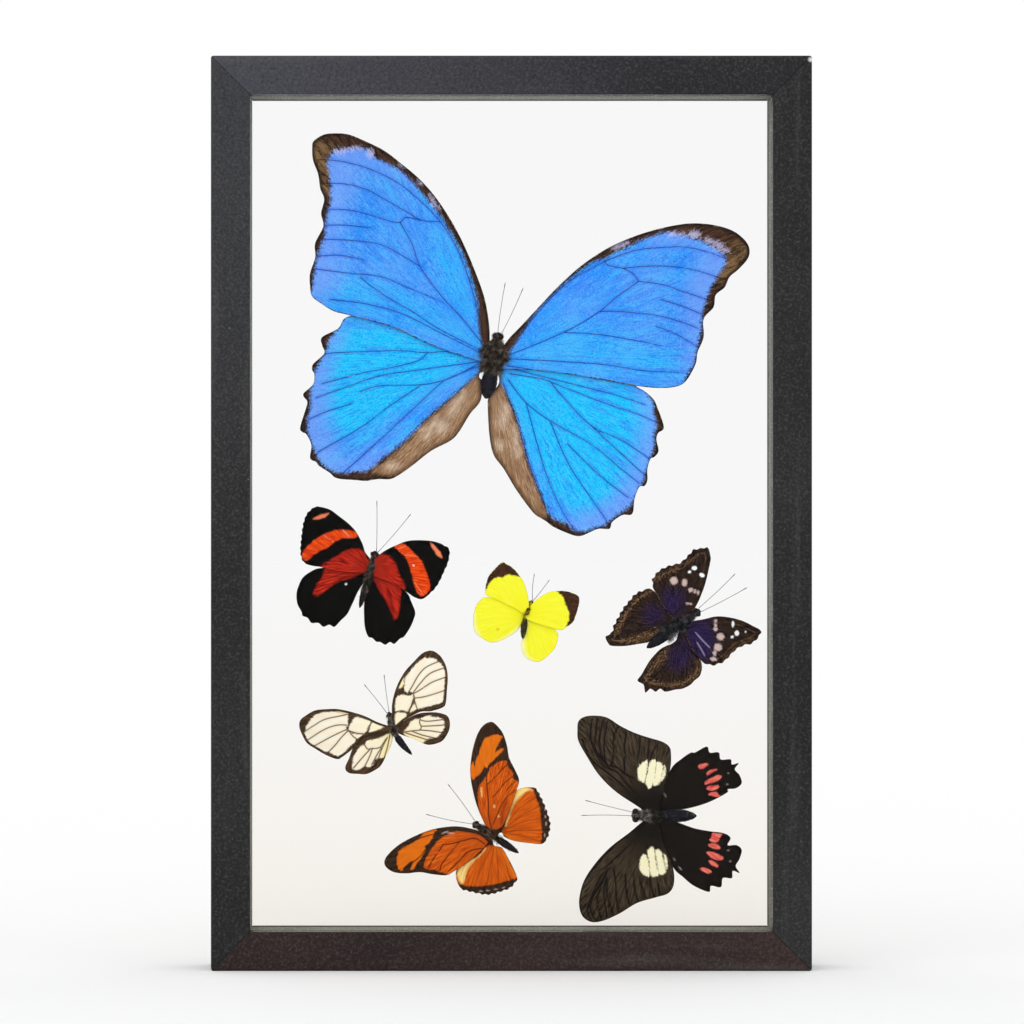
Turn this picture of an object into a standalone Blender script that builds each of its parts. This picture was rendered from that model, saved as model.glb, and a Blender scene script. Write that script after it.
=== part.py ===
"""Seven butterflies shown between two panes of glass in a grooved black wooden frame.

Metres, +Z up. The origin is under the middle of the bottom rail, X runs along the frame and
-Y is its front. Lengths below are in millimetres, and MM turns them into metres.
"""

import math

import bmesh
import bpy
from mathutils import Matrix, Vector

MM = 0.001

# Frame
FRAME_WIDTH = 199.0
FRAME_HEIGHT = 303.0
FRAME_DEPTH = 24.0
RAIL_WIDTH = 13.0
EDGE_ROUNDING = 1.0
LIP_THICKNESS = 3.0
GROOVE_DEPTH = 6.0
GLASS_THICKNESS = 2.0
GAP = 0.3

# Places worked out from the frame
GROOVE_HALF_WIDTH = FRAME_DEPTH / 2 - LIP_THICKNESS
OPENING_HALF_WIDTH = FRAME_WIDTH / 2 - RAIL_WIDTH
OPENING_BOTTOM = RAIL_WIDTH
OPENING_TOP = FRAME_HEIGHT - RAIL_WIDTH
SPACER_HALF_DEPTH = GROOVE_HALF_WIDTH - GLASS_THICKNESS - 2 * GAP
PANE_MIDDLE = GROOVE_HALF_WIDTH - GAP - GLASS_THICKNESS / 2
BACK_PANE_FACE = PANE_MIDDLE - GLASS_THICKNESS / 2

# Specimens
WING_THICKNESS = 0.3
WING_CAMBER = 0.35
FOREWING_FORWARD = 0.6
HINDWING_BACK = 0.5
BODY_STEPS = 10
ANTENNA_THICKNESS = 0.36
CLUB_SWELLING = 1.9

# The radius of head and thorax along the body: the share of the body's length, then the share
# of the head's or thorax's own radius.
HEAD_PROFILE = ((0.0, 0.0), (0.025, 0.7), (0.075, 1.0), (0.13, 0.75))
THORAX_PROFILE = ((0.18, 0.72), (0.26, 1.0), (0.37, 0.95), (0.45, 0.5))
WAIST = 0.45
# The abdomen swells from the waist to where it is fullest, then tapers to its tip. Shares of
# those two stretches, and of its radius.
ABDOMEN_SWELLS = ((0.3, 0.6), (0.65, 0.9), (1.0, 1.0))
ABDOMEN_TAPERS = ((0.45, 0.82), (0.8, 0.45), (1.0, 0.0))


def clear_scene():
    for thing in list(bpy.data.objects):
        bpy.data.objects.remove(thing, do_unlink=True)


def new_collection(name):
    collection = bpy.data.collections.new(name)
    bpy.context.scene.collection.children.link(collection)
    return collection


clear_scene()
PARTS = new_collection("framed_butterflies")
CUTTERS = new_collection("cutters")


def finish_material(name, colour, roughness, metallic=0.0, transmission=0.0):
    """A plain Principled material, made once for each name."""
    if name in bpy.data.materials:
        return bpy.data.materials[name]
    material = bpy.data.materials.new(name)
    material.use_nodes = True
    shader = material.node_tree.nodes["Principled BSDF"]
    shader.inputs["Base Color"].default_value = (*colour, 1.0)
    shader.inputs["Roughness"].default_value = roughness
    shader.inputs["Metallic"].default_value = metallic
    shader.inputs["Transmission Weight"].default_value = transmission
    return material


def add_object(name, mesh, collection, material=None):
    thing = bpy.data.objects.new(name, mesh)
    collection.objects.link(thing)
    if material:
        mesh.materials.append(material)
    if collection is CUTTERS:
        thing.hide_render = True
        thing.display_type = "WIRE"
    return thing


def box(name, low, high, collection, material=None):
    """A closed box between two corners given in millimetres."""
    low, high = Vector(low) * MM, Vector(high) * MM
    mesh = bpy.data.meshes.new(name)
    shape = bmesh.new()
    bmesh.ops.create_cube(shape, size=1.0)
    bmesh.ops.scale(shape, vec=high - low, verts=shape.verts)
    bmesh.ops.translate(shape, vec=(high + low) / 2, verts=shape.verts)
    shape.to_mesh(mesh)
    shape.free()
    return add_object(name, mesh, collection, material)


def cut(thing, cutter, operation="DIFFERENCE"):
    modifier = thing.modifiers.new(operation.lower(), "BOOLEAN")
    modifier.operation = operation
    modifier.solver = "EXACT"
    modifier.object = cutter


def ease_edges(thing, width, segments, angle=30.0):
    modifier = thing.modifiers.new("eased edges", "BEVEL")
    modifier.width = width * MM
    modifier.segments = segments
    modifier.limit_method = "ANGLE"
    modifier.angle_limit = math.radians(angle)


def mesh_of(thing):
    """The object's shape as it is evaluated, as a closed mesh in world coordinates."""
    evaluated = thing.evaluated_get(bpy.context.evaluated_depsgraph_get())
    mesh = bpy.data.meshes.new_from_object(evaluated)
    mesh.transform(thing.matrix_world)
    shape = bmesh.new()
    shape.from_mesh(mesh)
    bmesh.ops.remove_doubles(shape, verts=shape.verts, dist=0.00001)
    shape.to_mesh(mesh)
    shape.free()
    return mesh


def frame_envelope():
    """The outside of the whole frame, with its edges and corners rounded by sanding."""
    envelope = box(
        "envelope",
        (-FRAME_WIDTH / 2, -FRAME_DEPTH / 2, 0.0),
        (FRAME_WIDTH / 2, FRAME_DEPTH / 2, FRAME_HEIGHT),
        CUTTERS,
    )
    ease_edges(envelope, EDGE_ROUNDING, 4)
    return envelope


def frame_groove():
    """The space that the groove in the rails leaves for glass and spacers."""
    reach = OPENING_HALF_WIDTH + GROOVE_DEPTH
    return box(
        "groove",
        (-reach, -GROOVE_HALF_WIDTH, OPENING_BOTTOM - GROOVE_DEPTH),
        (reach, GROOVE_HALF_WIDTH, OPENING_TOP + GROOVE_DEPTH),
        CUTTERS,
    )


def rail(name, outline, envelope, groove, material):
    """A rail: its mitred outline in the frame's plane, carried through the frame's depth."""
    curve = bpy.data.curves.new(name, "CURVE")
    curve.dimensions = "2D"
    curve.fill_mode = "BOTH"
    curve.extrude = (FRAME_DEPTH / 2 + 1.0) * MM
    spline = curve.splines.new("POLY")
    spline.points.add(len(outline) - 1)
    for point, (x, z) in zip(spline.points, outline):
        point.co = (x * MM, z * MM, 0.0, 1.0)
    spline.use_cyclic_u = True
    flat = bpy.data.objects.new(name + "_outline", curve)
    CUTTERS.objects.link(flat)
    flat.rotation_euler = (math.pi / 2, 0.0, 0.0)
    bpy.context.view_layer.update()
    mesh = mesh_of(flat)
    bpy.data.objects.remove(flat)
    thing = add_object(name, mesh, PARTS, material)
    cut(thing, envelope, "INTERSECT")
    cut(thing, groove)
    return thing


def frame_rails():
    """Four rails of black painted wood, mitred, with one groove along their inner side."""
    paint = finish_material("black_paint", (0.035, 0.034, 0.036), 0.38)
    envelope = frame_envelope()
    groove = frame_groove()
    mitre = GAP / 2 * math.sqrt(2)
    side, top = FRAME_WIDTH / 2, FRAME_HEIGHT
    inner, low, high = OPENING_HALF_WIDTH, OPENING_BOTTOM, OPENING_TOP
    proud = 1.0
    for name, outline in (
        (
            "rail_bottom",
            (
                (-side + mitre - proud, -proud),
                (side - mitre + proud, -proud),
                (inner - mitre, low),
                (-inner + mitre, low),
            ),
        ),
        (
            "rail_top",
            (
                (-inner + mitre, high),
                (inner - mitre, high),
                (side - mitre + proud, top + proud),
                (-side + mitre - proud, top + proud),
            ),
        ),
        (
            "rail_left",
            (
                (-side - proud, mitre - proud),
                (-inner, low + mitre),
                (-inner, high - mitre),
                (-side - proud, top - mitre + proud),
            ),
        ),
        (
            "rail_right",
            (
                (inner, low + mitre),
                (side + proud, mitre - proud),
                (side + proud, top - mitre + proud),
                (inner, high - mitre),
            ),
        ),
    ):
        rail(name, outline, envelope, groove, paint)


def glass_panes():
    """Two panes of clear glass, which sit in the groove in front of and behind the spacers."""
    glass = finish_material("clear_glass", (0.95, 0.97, 0.96), 0.02, transmission=1.0)
    reach = OPENING_HALF_WIDTH + GROOVE_DEPTH - GAP
    low, high = OPENING_BOTTOM - GROOVE_DEPTH + GAP, OPENING_TOP + GROOVE_DEPTH - GAP
    for name, middle in (("front_glass", -PANE_MIDDLE), ("back_glass", PANE_MIDDLE)):
        front, back = middle - GLASS_THICKNESS / 2, middle + GLASS_THICKNESS / 2
        box(name, (-reach, front, low), (reach, back, high), PARTS, glass)


def spacer_strips():
    """Four grey strips that hold the panes apart. Their inner faces line up with the lips."""
    grey = finish_material("grey_spacer", (0.30, 0.30, 0.28), 0.7)
    inner, outer = OPENING_HALF_WIDTH, OPENING_HALF_WIDTH + GROOVE_DEPTH - GAP
    low, high = OPENING_BOTTOM, OPENING_TOP
    floor, ceiling = low - GROOVE_DEPTH + GAP, high + GROOVE_DEPTH - GAP
    deep = SPACER_HALF_DEPTH
    for name, start, end in (
        ("spacer_bottom", (-outer, -deep, floor), (outer, deep, low)),
        ("spacer_top", (-outer, -deep, high), (outer, deep, ceiling)),
        ("spacer_left", (-outer, -deep, low + GAP), (-inner, deep, high - GAP)),
        ("spacer_right", (inner, -deep, low + GAP), (outer, deep, high - GAP)),
    ):
        box(name, start, end, PARTS, grey)


class Butterfly:
    """One specimen, glued by its underside to the back pane.

    place is the middle of its thorax, (X, Z) in the frame. head and tip are the two ends of
    its body, and every outline point is (x, z) from place too. radii are the head's,
    thorax's and abdomen's, depth_share says how deep the body is beside its width, and bow
    is how far its middle bends out of line.
    """

    def __init__(self, name, place, head, tip, radii, depth_share, rise, fullest=0.7, bow=0.0):
        self.name = name
        self.place = place
        self.head = Vector(head)
        self.tip = Vector(tip)
        self.radii = dict(zip(("head", "thorax", "abdomen"), radii))
        self.depth_share = depth_share
        self.rise = rise
        self.fullest = fullest
        self.bow = bow
        self.axis_depth = BACK_PANE_FACE - GAP - depth_share * radii[1]
        self.cutter = None

    def profile(self):
        """(share of the length, radius) from the front of the head to the abdomen's tip."""
        points = [(s, r * self.radii["head"]) for s, r in HEAD_PROFILE]
        points += [(s, r * self.radii["thorax"]) for s, r in THORAX_PROFILE]
        abdomen = self.radii["abdomen"]
        for s, r in ABDOMEN_SWELLS:
            points.append((WAIST + s * (self.fullest - WAIST), r * abdomen))
        for s, r in ABDOMEN_TAPERS:
            points.append((self.fullest + s * (1 - self.fullest), r * abdomen))
        return points

    def spindle(self, name, grow, collection, material=None):
        """The body turned from its profile by Screw, then laid along the insect's length."""
        length = (self.tip - self.head).length
        mesh = bpy.data.meshes.new(name)
        points = []
        for share, radius in self.profile():
            along = share * length + (2 * share - 1) * grow
            around = radius + (grow if radius else 0.0)
            points.append((around * MM, 0.0, -along * MM))
        mesh.from_pydata(points, [(i, i + 1) for i in range(len(points) - 1)], [])
        turned = add_object(name + "_profile", mesh, CUTTERS)
        screw = turned.modifiers.new("turned", "SCREW")
        screw.axis = "Z"
        screw.steps = screw.render_steps = BODY_STEPS
        screw.use_merge_vertices = True
        screw.merge_threshold = 0.00001
        along = self.tip - self.head
        lean = math.atan2(-along.x, -along.y)
        x, z = self.head.x + self.place[0], self.head.y + self.place[1]
        turned.matrix_world = (
            Matrix.Translation((x * MM, self.axis_depth * MM, z * MM))
            @ Matrix.Rotation(lean, 4, "Y")
            @ Matrix.Diagonal((1.0, self.depth_share, 1.0, 1.0))
        )
        bpy.context.view_layer.update()
        shape = mesh_of(turned)
        bpy.data.objects.remove(turned)
        along.normalize()
        for vertex in shape.vertices:
            out = Vector((vertex.co.x / MM - x, vertex.co.z / MM - z))
            share = min(max(out.dot(along) / length, 0.0), 1.0)
            bend = self.bow * math.sin(math.pi * share) * MM
            vertex.co.x += along.y * bend
            vertex.co.z -= along.x * bend
        return add_object(name, shape, collection, material)

    def antenna(self, name, start, end, bow):
        """A thin tube from the head, bowed sideways, that swells to a club at its end."""
        curve = bpy.data.curves.new(name, "CURVE")
        curve.dimensions = "3D"
        curve.bevel_depth = ANTENNA_THICKNESS / 2 * MM
        curve.bevel_resolution = 0
        curve.use_fill_caps = True
        start, end = Vector(start), Vector(end)
        inside = start + (start - end).normalized() * 0.6 * self.radii["head"]
        sideways = Vector((end.y - start.y, start.x - end.x)).normalized()
        spline = curve.splines.new("POLY")
        stations = ((0.0, 1.0), (0.35, 1.0), (0.7, 0.8), (0.9, 1.0), (0.96, CLUB_SWELLING), (1.0, 1.2))
        spline.points.add(len(stations) - 1)
        for point, (share, swelling) in zip(spline.points, stations):
            flat = inside.lerp(end, share) + sideways * bow * math.sin(math.pi * share)
            x, z = flat.x + self.place[0], flat.y + self.place[1]
            forward = self.axis_depth - 1.2 * share
            point.co = (x * MM, forward * MM, z * MM, 1.0)
            point.radius = swelling
        tube = bpy.data.objects.new(name, curve)
        CUTTERS.objects.link(tube)
        bpy.context.view_layer.update()
        mesh = mesh_of(tube)
        bpy.data.objects.remove(tube)
        return add_object(name, mesh, CUTTERS)

    def body(self, colour, antennae):
        """Head, thorax and abdomen in one, with both antennae joined to the head."""
        hairy = finish_material(self.name + "_body", colour, 0.75)
        body = self.spindle(self.name + "_body", 0.0, PARTS, hairy)
        for number, (start, end, bow) in enumerate(antennae):
            tube = self.antenna(f"{self.name}_antenna_{number}", start, end, bow)
            cut(body, tube, "UNION")
        body.data.shade_smooth()
        self.cutter = self.spindle(self.name + "_hollow", GAP + 0.05, CUTTERS)

    def distance_from_axis(self, x, z):
        along = (self.tip - self.head).normalized()
        out = Vector((x, z)) - self.head
        return abs(out.x * along.y - out.y * along.x)

    def wing(self, which, colour, outline):
        """A wing: a sheet lofted from its middle to its margin, cambered, then thickened.

        It rises towards the front by self.rise for each millimetre away from the body, and a
        forewing lies in front of its hindwing.
        """
        forward = FOREWING_FORWARD if which.endswith("forewing") else -HINDWING_BACK
        middle = Vector((0.0, 0.0))
        for point in outline:
            middle += Vector(point) / len(outline)
        shape = bmesh.new()

        def lay(flat, out):
            lift = self.rise * self.distance_from_axis(*flat) + WING_CAMBER * (1 - out * out)
            x, z = flat.x + self.place[0], flat.y + self.place[1]
            return shape.verts.new((x * MM, (self.axis_depth - forward - lift) * MM, z * MM))

        rings = [
            [lay(middle.lerp(Vector(point), share), share) for point in outline]
            for share in (0.55, 1.0)
        ]
        centre = lay(middle, 0.0)
        for i in range(len(outline)):
            j = (i + 1) % len(outline)
            shape.faces.new((centre, rings[0][i], rings[0][j]))
            shape.faces.new((rings[0][i], rings[1][i], rings[1][j], rings[0][j]))
        bmesh.ops.recalc_face_normals(shape, faces=shape.faces)
        name = f"{self.name}_{which}"
        mesh = bpy.data.meshes.new(name)
        shape.to_mesh(mesh)
        shape.free()
        scales = finish_material(f"{self.name}_{which.split('_')[-1]}", colour, 0.5)
        thing = add_object(name, mesh, PARTS, scales)
        solidify = thing.modifiers.new("thickness", "SOLIDIFY")
        solidify.thickness = WING_THICKNESS * MM
        solidify.offset = 0.0
        cut(thing, self.cutter)


def blue_morpho():
    """The large blue one at the top. Its wings are the widest thing in the frame."""
    insect = Butterfly(
        "blue_morpho", (-6.2, 203.6), (2.4, 8.6), (-2.0, -13.9), (1.6, 3.6, 2.8), 0.85, 0.018,
        fullest=0.77,
    )
    insect.body(
        (0.03, 0.03, 0.035),
        (((1.9, 8.3), (4.5, 25.0), -0.2), ((3.5, 8.3), (10.5, 23.2), 0.2)),
    )
    blue, brown = (0.05, 0.30, 0.85), (0.10, 0.30, 0.75)
    insect.wing("left_forewing", blue, (
        (-1.3, -1.0), (-0.7, 7.0), (-1.3, 14.0), (-2.7, 20.7), (-5.3, 28.0), (-8.3, 35.3),
        (-11.7, 42.3), (-15.7, 49.0), (-20.0, 55.0), (-24.7, 60.0), (-30.3, 64.7), (-36.0, 69.0),
        (-42.0, 72.0), (-47.7, 74.3), (-52.0, 74.7), (-56.0, 74.3), (-59.3, 72.3), (-60.0, 70.3),
        (-59.7, 65.7), (-58.0, 61.0), (-57.3, 56.3), (-56.0, 52.7), (-57.0, 48.0), (-56.3, 43.7),
        (-59.0, 38.0), (-59.0, 33.3), (-60.7, 28.0), (-60.7, 23.7), (-60.0, 20.3), (-56.7, 17.7),
        (-52.7, 15.3), (-47.7, 14.0), (-33.0, 10.0), (-20.7, 4.3), (-6.3, -0.7),
    ))
    insect.wing("right_forewing", blue, (
        (2.0, 0.0), (5.2, 5.6), (9.9, 10.6), (15.5, 16.6), (22.3, 23.8), (29.9, 30.6),
        (38.1, 36.1), (45.6, 39.6), (52.9, 42.1), (60.4, 43.9), (67.3, 44.7), (74.7, 44.0),
        (80.7, 42.0), (84.7, 38.7), (86.0, 35.7), (85.3, 32.7), (82.3, 29.3), (79.3, 26.7),
        (77.7, 23.3), (74.7, 20.7), (74.0, 16.7), (70.7, 12.7), (70.7, 6.7), (68.7, 1.7),
        (68.0, -2.3), (65.0, -7.7), (62.0, -9.7), (56.7, -10.3), (49.0, -9.7), (37.7, -7.7),
        (25.7, -5.7), (14.0, -4.3), (1.5, -3.6),
    ))
    insect.wing("left_hindwing", brown, (
        (-47.7, 13.7), (-51.3, 9.7), (-56.7, 6.7), (-56.7, 4.0), (-56.0, 1.3), (-59.7, -2.3),
        (-60.0, -4.3), (-59.3, -5.7), (-59.7, -9.0), (-63.0, -12.3), (-61.7, -14.7),
        (-62.0, -16.7), (-64.0, -23.3), (-63.3, -25.0), (-62.0, -25.7), (-60.3, -29.3),
        (-60.7, -33.7), (-58.7, -35.0), (-57.7, -36.3), (-54.0, -38.7), (-52.7, -40.0),
        (-50.3, -40.7), (-45.7, -41.0), (-42.0, -41.3), (-38.0, -40.7), (-34.0, -40.7),
        (-31.0, -39.3), (-26.7, -36.3), (-20.3, -31.3), (-14.0, -28.0), (-11.0, -25.0),
        (-7.3, -19.0), (-3.7, -14.3), (-3.6, -7.7), (-4.8, -5.6), (-4.4, -3.4), (-1.7, -0.3),
        (-9.0, 4.0), (-20.7, 10.3),
        (-33.0, 15.0),
    ))
    insect.wing("right_hindwing", brown, (
        (2.0, -3.6), (17.7, -1.7), (32.7, -3.0), (44.3, -6.3), (48.3, -9.7), (51.0, -11.3),
        (54.0, -14.0), (55.3, -16.7), (57.3, -22.3), (57.2, -24.2), (55.6, -25.3),
        (55.0, -27.5), (55.7, -31.3), (54.3, -33.3), (53.0, -34.0), (52.0, -37.3),
        (52.0, -41.0), (51.0, -43.0), (49.3, -43.3), (47.7, -47.3), (47.3, -51.3),
        (46.3, -52.7), (43.7, -52.7), (40.3, -55.0), (39.3, -57.3), (35.7, -57.3),
        (32.3, -58.7), (29.7, -59.7), (26.7, -59.3), (20.7, -56.7), (18.0, -54.7),
        (14.7, -52.7), (12.3, -50.0), (8.0, -44.0), (4.0, -37.3), (0.7, -32.7),
        (-0.7, -26.7), (-1.3, -17.7), (-1.0, -13.0), (2.1, -9.3), (2.5, -6.6),
    ))


def red_banded():
    """The black one with orange-red bands, at the left below the morpho."""
    insect = Butterfly(
        "red_banded", (-46.5, 132.5), (1.6, 6.6), (-3.9, -12.8), (1.3, 1.7, 1.2), 0.9, 0.03
    )
    insect.body(
        (0.02, 0.018, 0.018),
        (((1.8, 6.4), (1.9, 23.3), 0.1), ((2.3, 6.0), (13.3, 18.8), 0.2)),
    )
    black = (0.03, 0.015, 0.012)
    insect.wing("left_forewing", black, (
        (0.2, 0.6), (-0.4, 3.7), (-2.0, 6.0), (-3.0, 9.0), (-5.0, 12.7), (-7.3, 15.3),
        (-10.7, 18.0), (-14.0, 20.3), (-18.0, 21.3), (-19.3, 21.0), (-21.3, 19.3),
        (-22.3, 17.3), (-23.0, 14.7), (-23.7, 8.7), (-23.7, 5.3), (-23.0, 3.0), (-21.7, 2.0),
        (-19.0, 1.3), (-16.7, 1.0), (-10.3, -0.7), (-1.2, -0.9),
    ))
    insect.wing("right_forewing", black, (
        (0.0, 2.6), (3.3, 5.6), (5.9, 7.2), (8.3, 8.3), (12.0, 9.7), (16.0, 10.0),
        (20.3, 9.7), (23.7, 8.7), (26.0, 7.3), (26.3, 5.3), (25.7, 2.3), (24.7, 0.0),
        (22.9, -3.9), (21.3, -6.3), (19.4, -8.1), (17.0, -9.7), (14.5, -9.1), (12.2, -7.6),
        (8.0, -5.0), (-0.2, -1.3),
    ))
    insect.wing("left_hindwing", black, (
        (-16.7, 0.7), (-19.3, 0.0), (-22.7, -2.3), (-24.3, -5.3), (-25.0, -8.0),
        (-24.7, -11.3), (-23.3, -14.0), (-23.0, -15.3), (-21.3, -16.0), (-20.0, -17.7),
        (-17.7, -17.7), (-16.0, -19.0), (-14.0, -18.3), (-12.3, -19.0), (-10.0, -16.7),
        (-8.0, -14.7), (-6.0, -10.7), (-4.3, -7.0), (-1.6, -2.7), (-0.6, 1.0), (-8.7, 1.7),
    ))
    insect.wing("right_hindwing", black, (
        (12.0, -7.7), (13.3, -10.3), (14.7, -14.0), (14.3, -16.3), (13.0, -19.3),
        (11.0, -22.3), (9.7, -22.9), (7.7, -24.7), (6.3, -24.1), (4.7, -25.0), (3.0, -24.1),
        (1.7, -24.0), (0.3, -22.7), (-1.0, -22.3), (-2.1, -19.3), (-2.4, -15.3),
        (-2.4, -11.7), (-1.8, -6.0), (-0.6, -2.0), (7.0, -3.3),
    ))


def yellow_sulphur():
    """The small lemon yellow one in the middle, with dark tips to its forewings."""
    insect = Butterfly(
        "yellow_sulphur", (5.7, 119.1), (1.7, 3.5), (-1.5, -9.7), (0.7, 1.1, 1.15), 1.0, 0.03,
        bow=0.7,
    )
    insect.body(
        (0.07, 0.07, 0.035),
        (((1.8, 3.4), (2.4, 12.2), -0.3), ((2.1, 3.2), (7.4, 10.1), 0.1)),
    )
    lemon = (0.90, 0.90, 0.10)
    insect.wing("left_forewing", lemon, (
        (0.6, 0.4), (0.5, 3.0), (0.0, 5.7), (-1.0, 9.0), (-2.7, 11.7), (-4.7, 14.0),
        (-6.7, 15.3), (-8.3, 16.0), (-10.0, 14.7), (-12.7, 11.7), (-13.7, 9.0), (-14.0, 7.0),
        (-13.7, 5.0), (-10.0, 3.3), (-5.0, 1.0), (-0.6, -1.4),
    ))
    insect.wing("right_forewing", lemon, (
        (0.4, 0.3), (2.1, 2.6), (4.7, 4.7), (7.3, 6.0), (10.0, 6.4), (12.3, 6.4),
        (14.7, 5.9), (16.8, 4.9), (17.4, 3.7), (17.1, 1.2), (16.1, -2.1), (15.2, -4.1),
        (13.5, -5.4), (11.3, -6.7), (7.0, -5.7), (-0.2, -3.0),
    ))
    insect.wing("left_hindwing", lemon, (
        (-13.7, 4.3), (-16.0, 3.0), (-17.3, 1.0), (-18.0, -2.0), (-18.0, -5.3),
        (-17.3, -7.7), (-15.3, -9.3), (-12.7, -10.7), (-10.0, -10.7), (-7.0, -9.3),
        (-4.0, -7.5), (-2.4, -5.6), (-1.0, -2.2), (-0.2, 0.4), (-6.3, 2.7),
    ))
    insect.wing("right_hindwing", lemon, (
        (10.0, -7.3), (10.3, -9.7), (9.3, -12.7), (7.3, -15.0), (4.7, -17.0), (2.7, -17.3),
        (0.0, -16.3), (-1.7, -14.0), (-2.1, -11.3), (-1.3, -8.0), (-0.7, -4.5), (-0.2, -1.6),
        (6.0, -3.3),
    ))


def purple_spotted():
    """The dark one with a purple sheen and pale spots, at the right, head up and right."""
    insect = Butterfly(
        "purple_spotted", (57.9, 115.8), (5.8, 3.5), (-12.3, -9.4), (1.4, 2.2, 2.0), 0.85, 0.03
    )
    insect.body(
        (0.04, 0.03, 0.03),
        (((5.2, 4.0), (17.3, 15.5), 0.2), ((5.8, 2.7), (21.3, 10.9), 0.2)),
    )
    dark = (0.06, 0.04, 0.045)
    insect.wing("left_forewing", dark, (
        (0.0, 0.0), (3.8, 4.0), (6.3, 9.3), (7.7, 13.7), (9.0, 19.7), (9.0, 21.3),
        (8.0, 24.3), (5.0, 24.0), (3.3, 23.7), (1.0, 21.3), (-1.3, 19.3), (-5.0, 18.3),
        (-8.3, 16.7), (-10.3, 14.3), (-10.7, 13.3), (-10.3, 11.0), (-8.7, 8.0), (-6.7, 4.7),
        (-3.2, 0.0),
    ))
    insect.wing("right_forewing", dark, (
        (1.6, -0.6), (6.8, 0.3), (10.7, 1.2), (14.7, 1.0), (19.0, 0.0), (22.7, -1.7),
        (26.0, -4.0), (23.3, -7.7), (20.0, -8.7), (17.3, -10.3), (14.0, -13.7),
        (12.0, -14.7), (9.7, -15.3), (7.3, -14.7), (6.0, -13.7), (3.7, -11.0), (1.3, -6.7),
        (-0.2, -1.9),
    ))
    insect.wing("left_hindwing", dark, (
        (-10.3, 10.0), (-12.7, 10.3), (-16.0, 9.0), (-18.7, 6.0), (-20.3, 4.0),
        (-22.0, 1.0), (-23.7, -2.3), (-24.0, -4.0), (-26.0, -5.6), (-25.0, -8.0),
        (-23.7, -8.7), (-19.3, -8.7), (-14.7, -8.0), (-11.6, -7.4), (-7.8, -5.4),
        (-3.5, -2.0), (-1.4, 0.2), (-5.0, 5.0),
    ))
    insect.wing("right_hindwing", dark, (
        (6.0, -14.0), (5.7, -18.3), (3.7, -20.3), (2.3, -21.7), (-0.3, -23.0),
        (-2.7, -23.3), (-6.0, -24.0), (-7.7, -23.0), (-9.3, -24.0), (-11.0, -23.0),
        (-12.7, -24.3), (-13.3, -21.7), (-15.3, -20.3), (-14.0, -18.3), (-12.7, -16.0),
        (-11.0, -13.3), (-8.0, -10.0), (-5.6, -8.6), (-4.2, -8.1), (-2.2, -6.6), (-1.6, -5.2),
        (-0.6, -2.0), (2.3, -8.3),
    ))


def clearwing():
    """The see-through cream one with brown bars, at the left, with a thin body."""
    insect = Butterfly(
        "clearwing", (-39.2, 79.3), (-1.6, 5.9), (6.4, -8.7), (0.9, 1.3, 1.25), 0.95, 0.03,
        fullest=0.62, bow=1.5,
    )
    insect.body(
        (0.06, 0.04, 0.03),
        (((-2.0, 5.3), (-9.7, 15.0), 0.1), ((-1.3, 5.5), (-3.0, 18.3), -0.1)),
    )
    cream = (0.85, 0.72, 0.50)
    insect.wing("left_forewing", cream, (
        (0.2, 0.4), (-5.3, 2.4), (-9.0, 4.2), (-13.3, 5.6), (-18.3, 6.7), (-22.3, 6.7),
        (-26.0, 6.3), (-29.0, 4.7), (-31.0, 3.0), (-31.3, 0.7), (-30.3, -2.0),
        (-28.7, -4.7), (-25.7, -6.7), (-22.3, -8.7), (-18.7, -10.0), (-17.0, -9.3),
        (-14.0, -7.0), (-11.3, -4.0), (-8.3, -2.0), (-0.2, -0.6),
    ))
    insect.wing("right_forewing", cream, (
        (0.2, 0.4), (-0.4, 6.7), (0.2, 11.0), (1.7, 15.3), (4.0, 19.3), (6.7, 22.3),
        (9.7, 25.3), (12.7, 26.3), (15.3, 25.0), (17.0, 22.7), (18.0, 20.0), (18.3, 16.7),
        (18.0, 12.7), (17.7, 9.0), (16.7, 7.3), (12.7, 6.0), (9.0, 5.7), (4.0, 3.0),
    ))
    insect.wing("left_hindwing", cream, (
        (-13.0, -5.7), (-14.7, -9.7), (-16.0, -13.0), (-14.7, -14.7), (-12.0, -15.0),
        (-8.7, -15.0), (-5.3, -13.3), (-3.7, -11.7), (-2.0, -8.3), (-0.5, -5.0),
        (-0.1, -2.8), (0.4, 0.0), (-4.3, -0.6), (-9.0, -2.0),
    ))
    insect.wing("right_hindwing", cream, (
        (12.7, 5.6), (17.0, 5.0), (18.7, 3.6), (19.0, 0.7), (18.0, -2.0), (16.0, -4.3),
        (12.0, -5.3), (9.0, -4.3), (6.0, -3.0), (2.0, -1.6), (0.2, 0.0), (7.0, 4.6),
    ))


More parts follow.
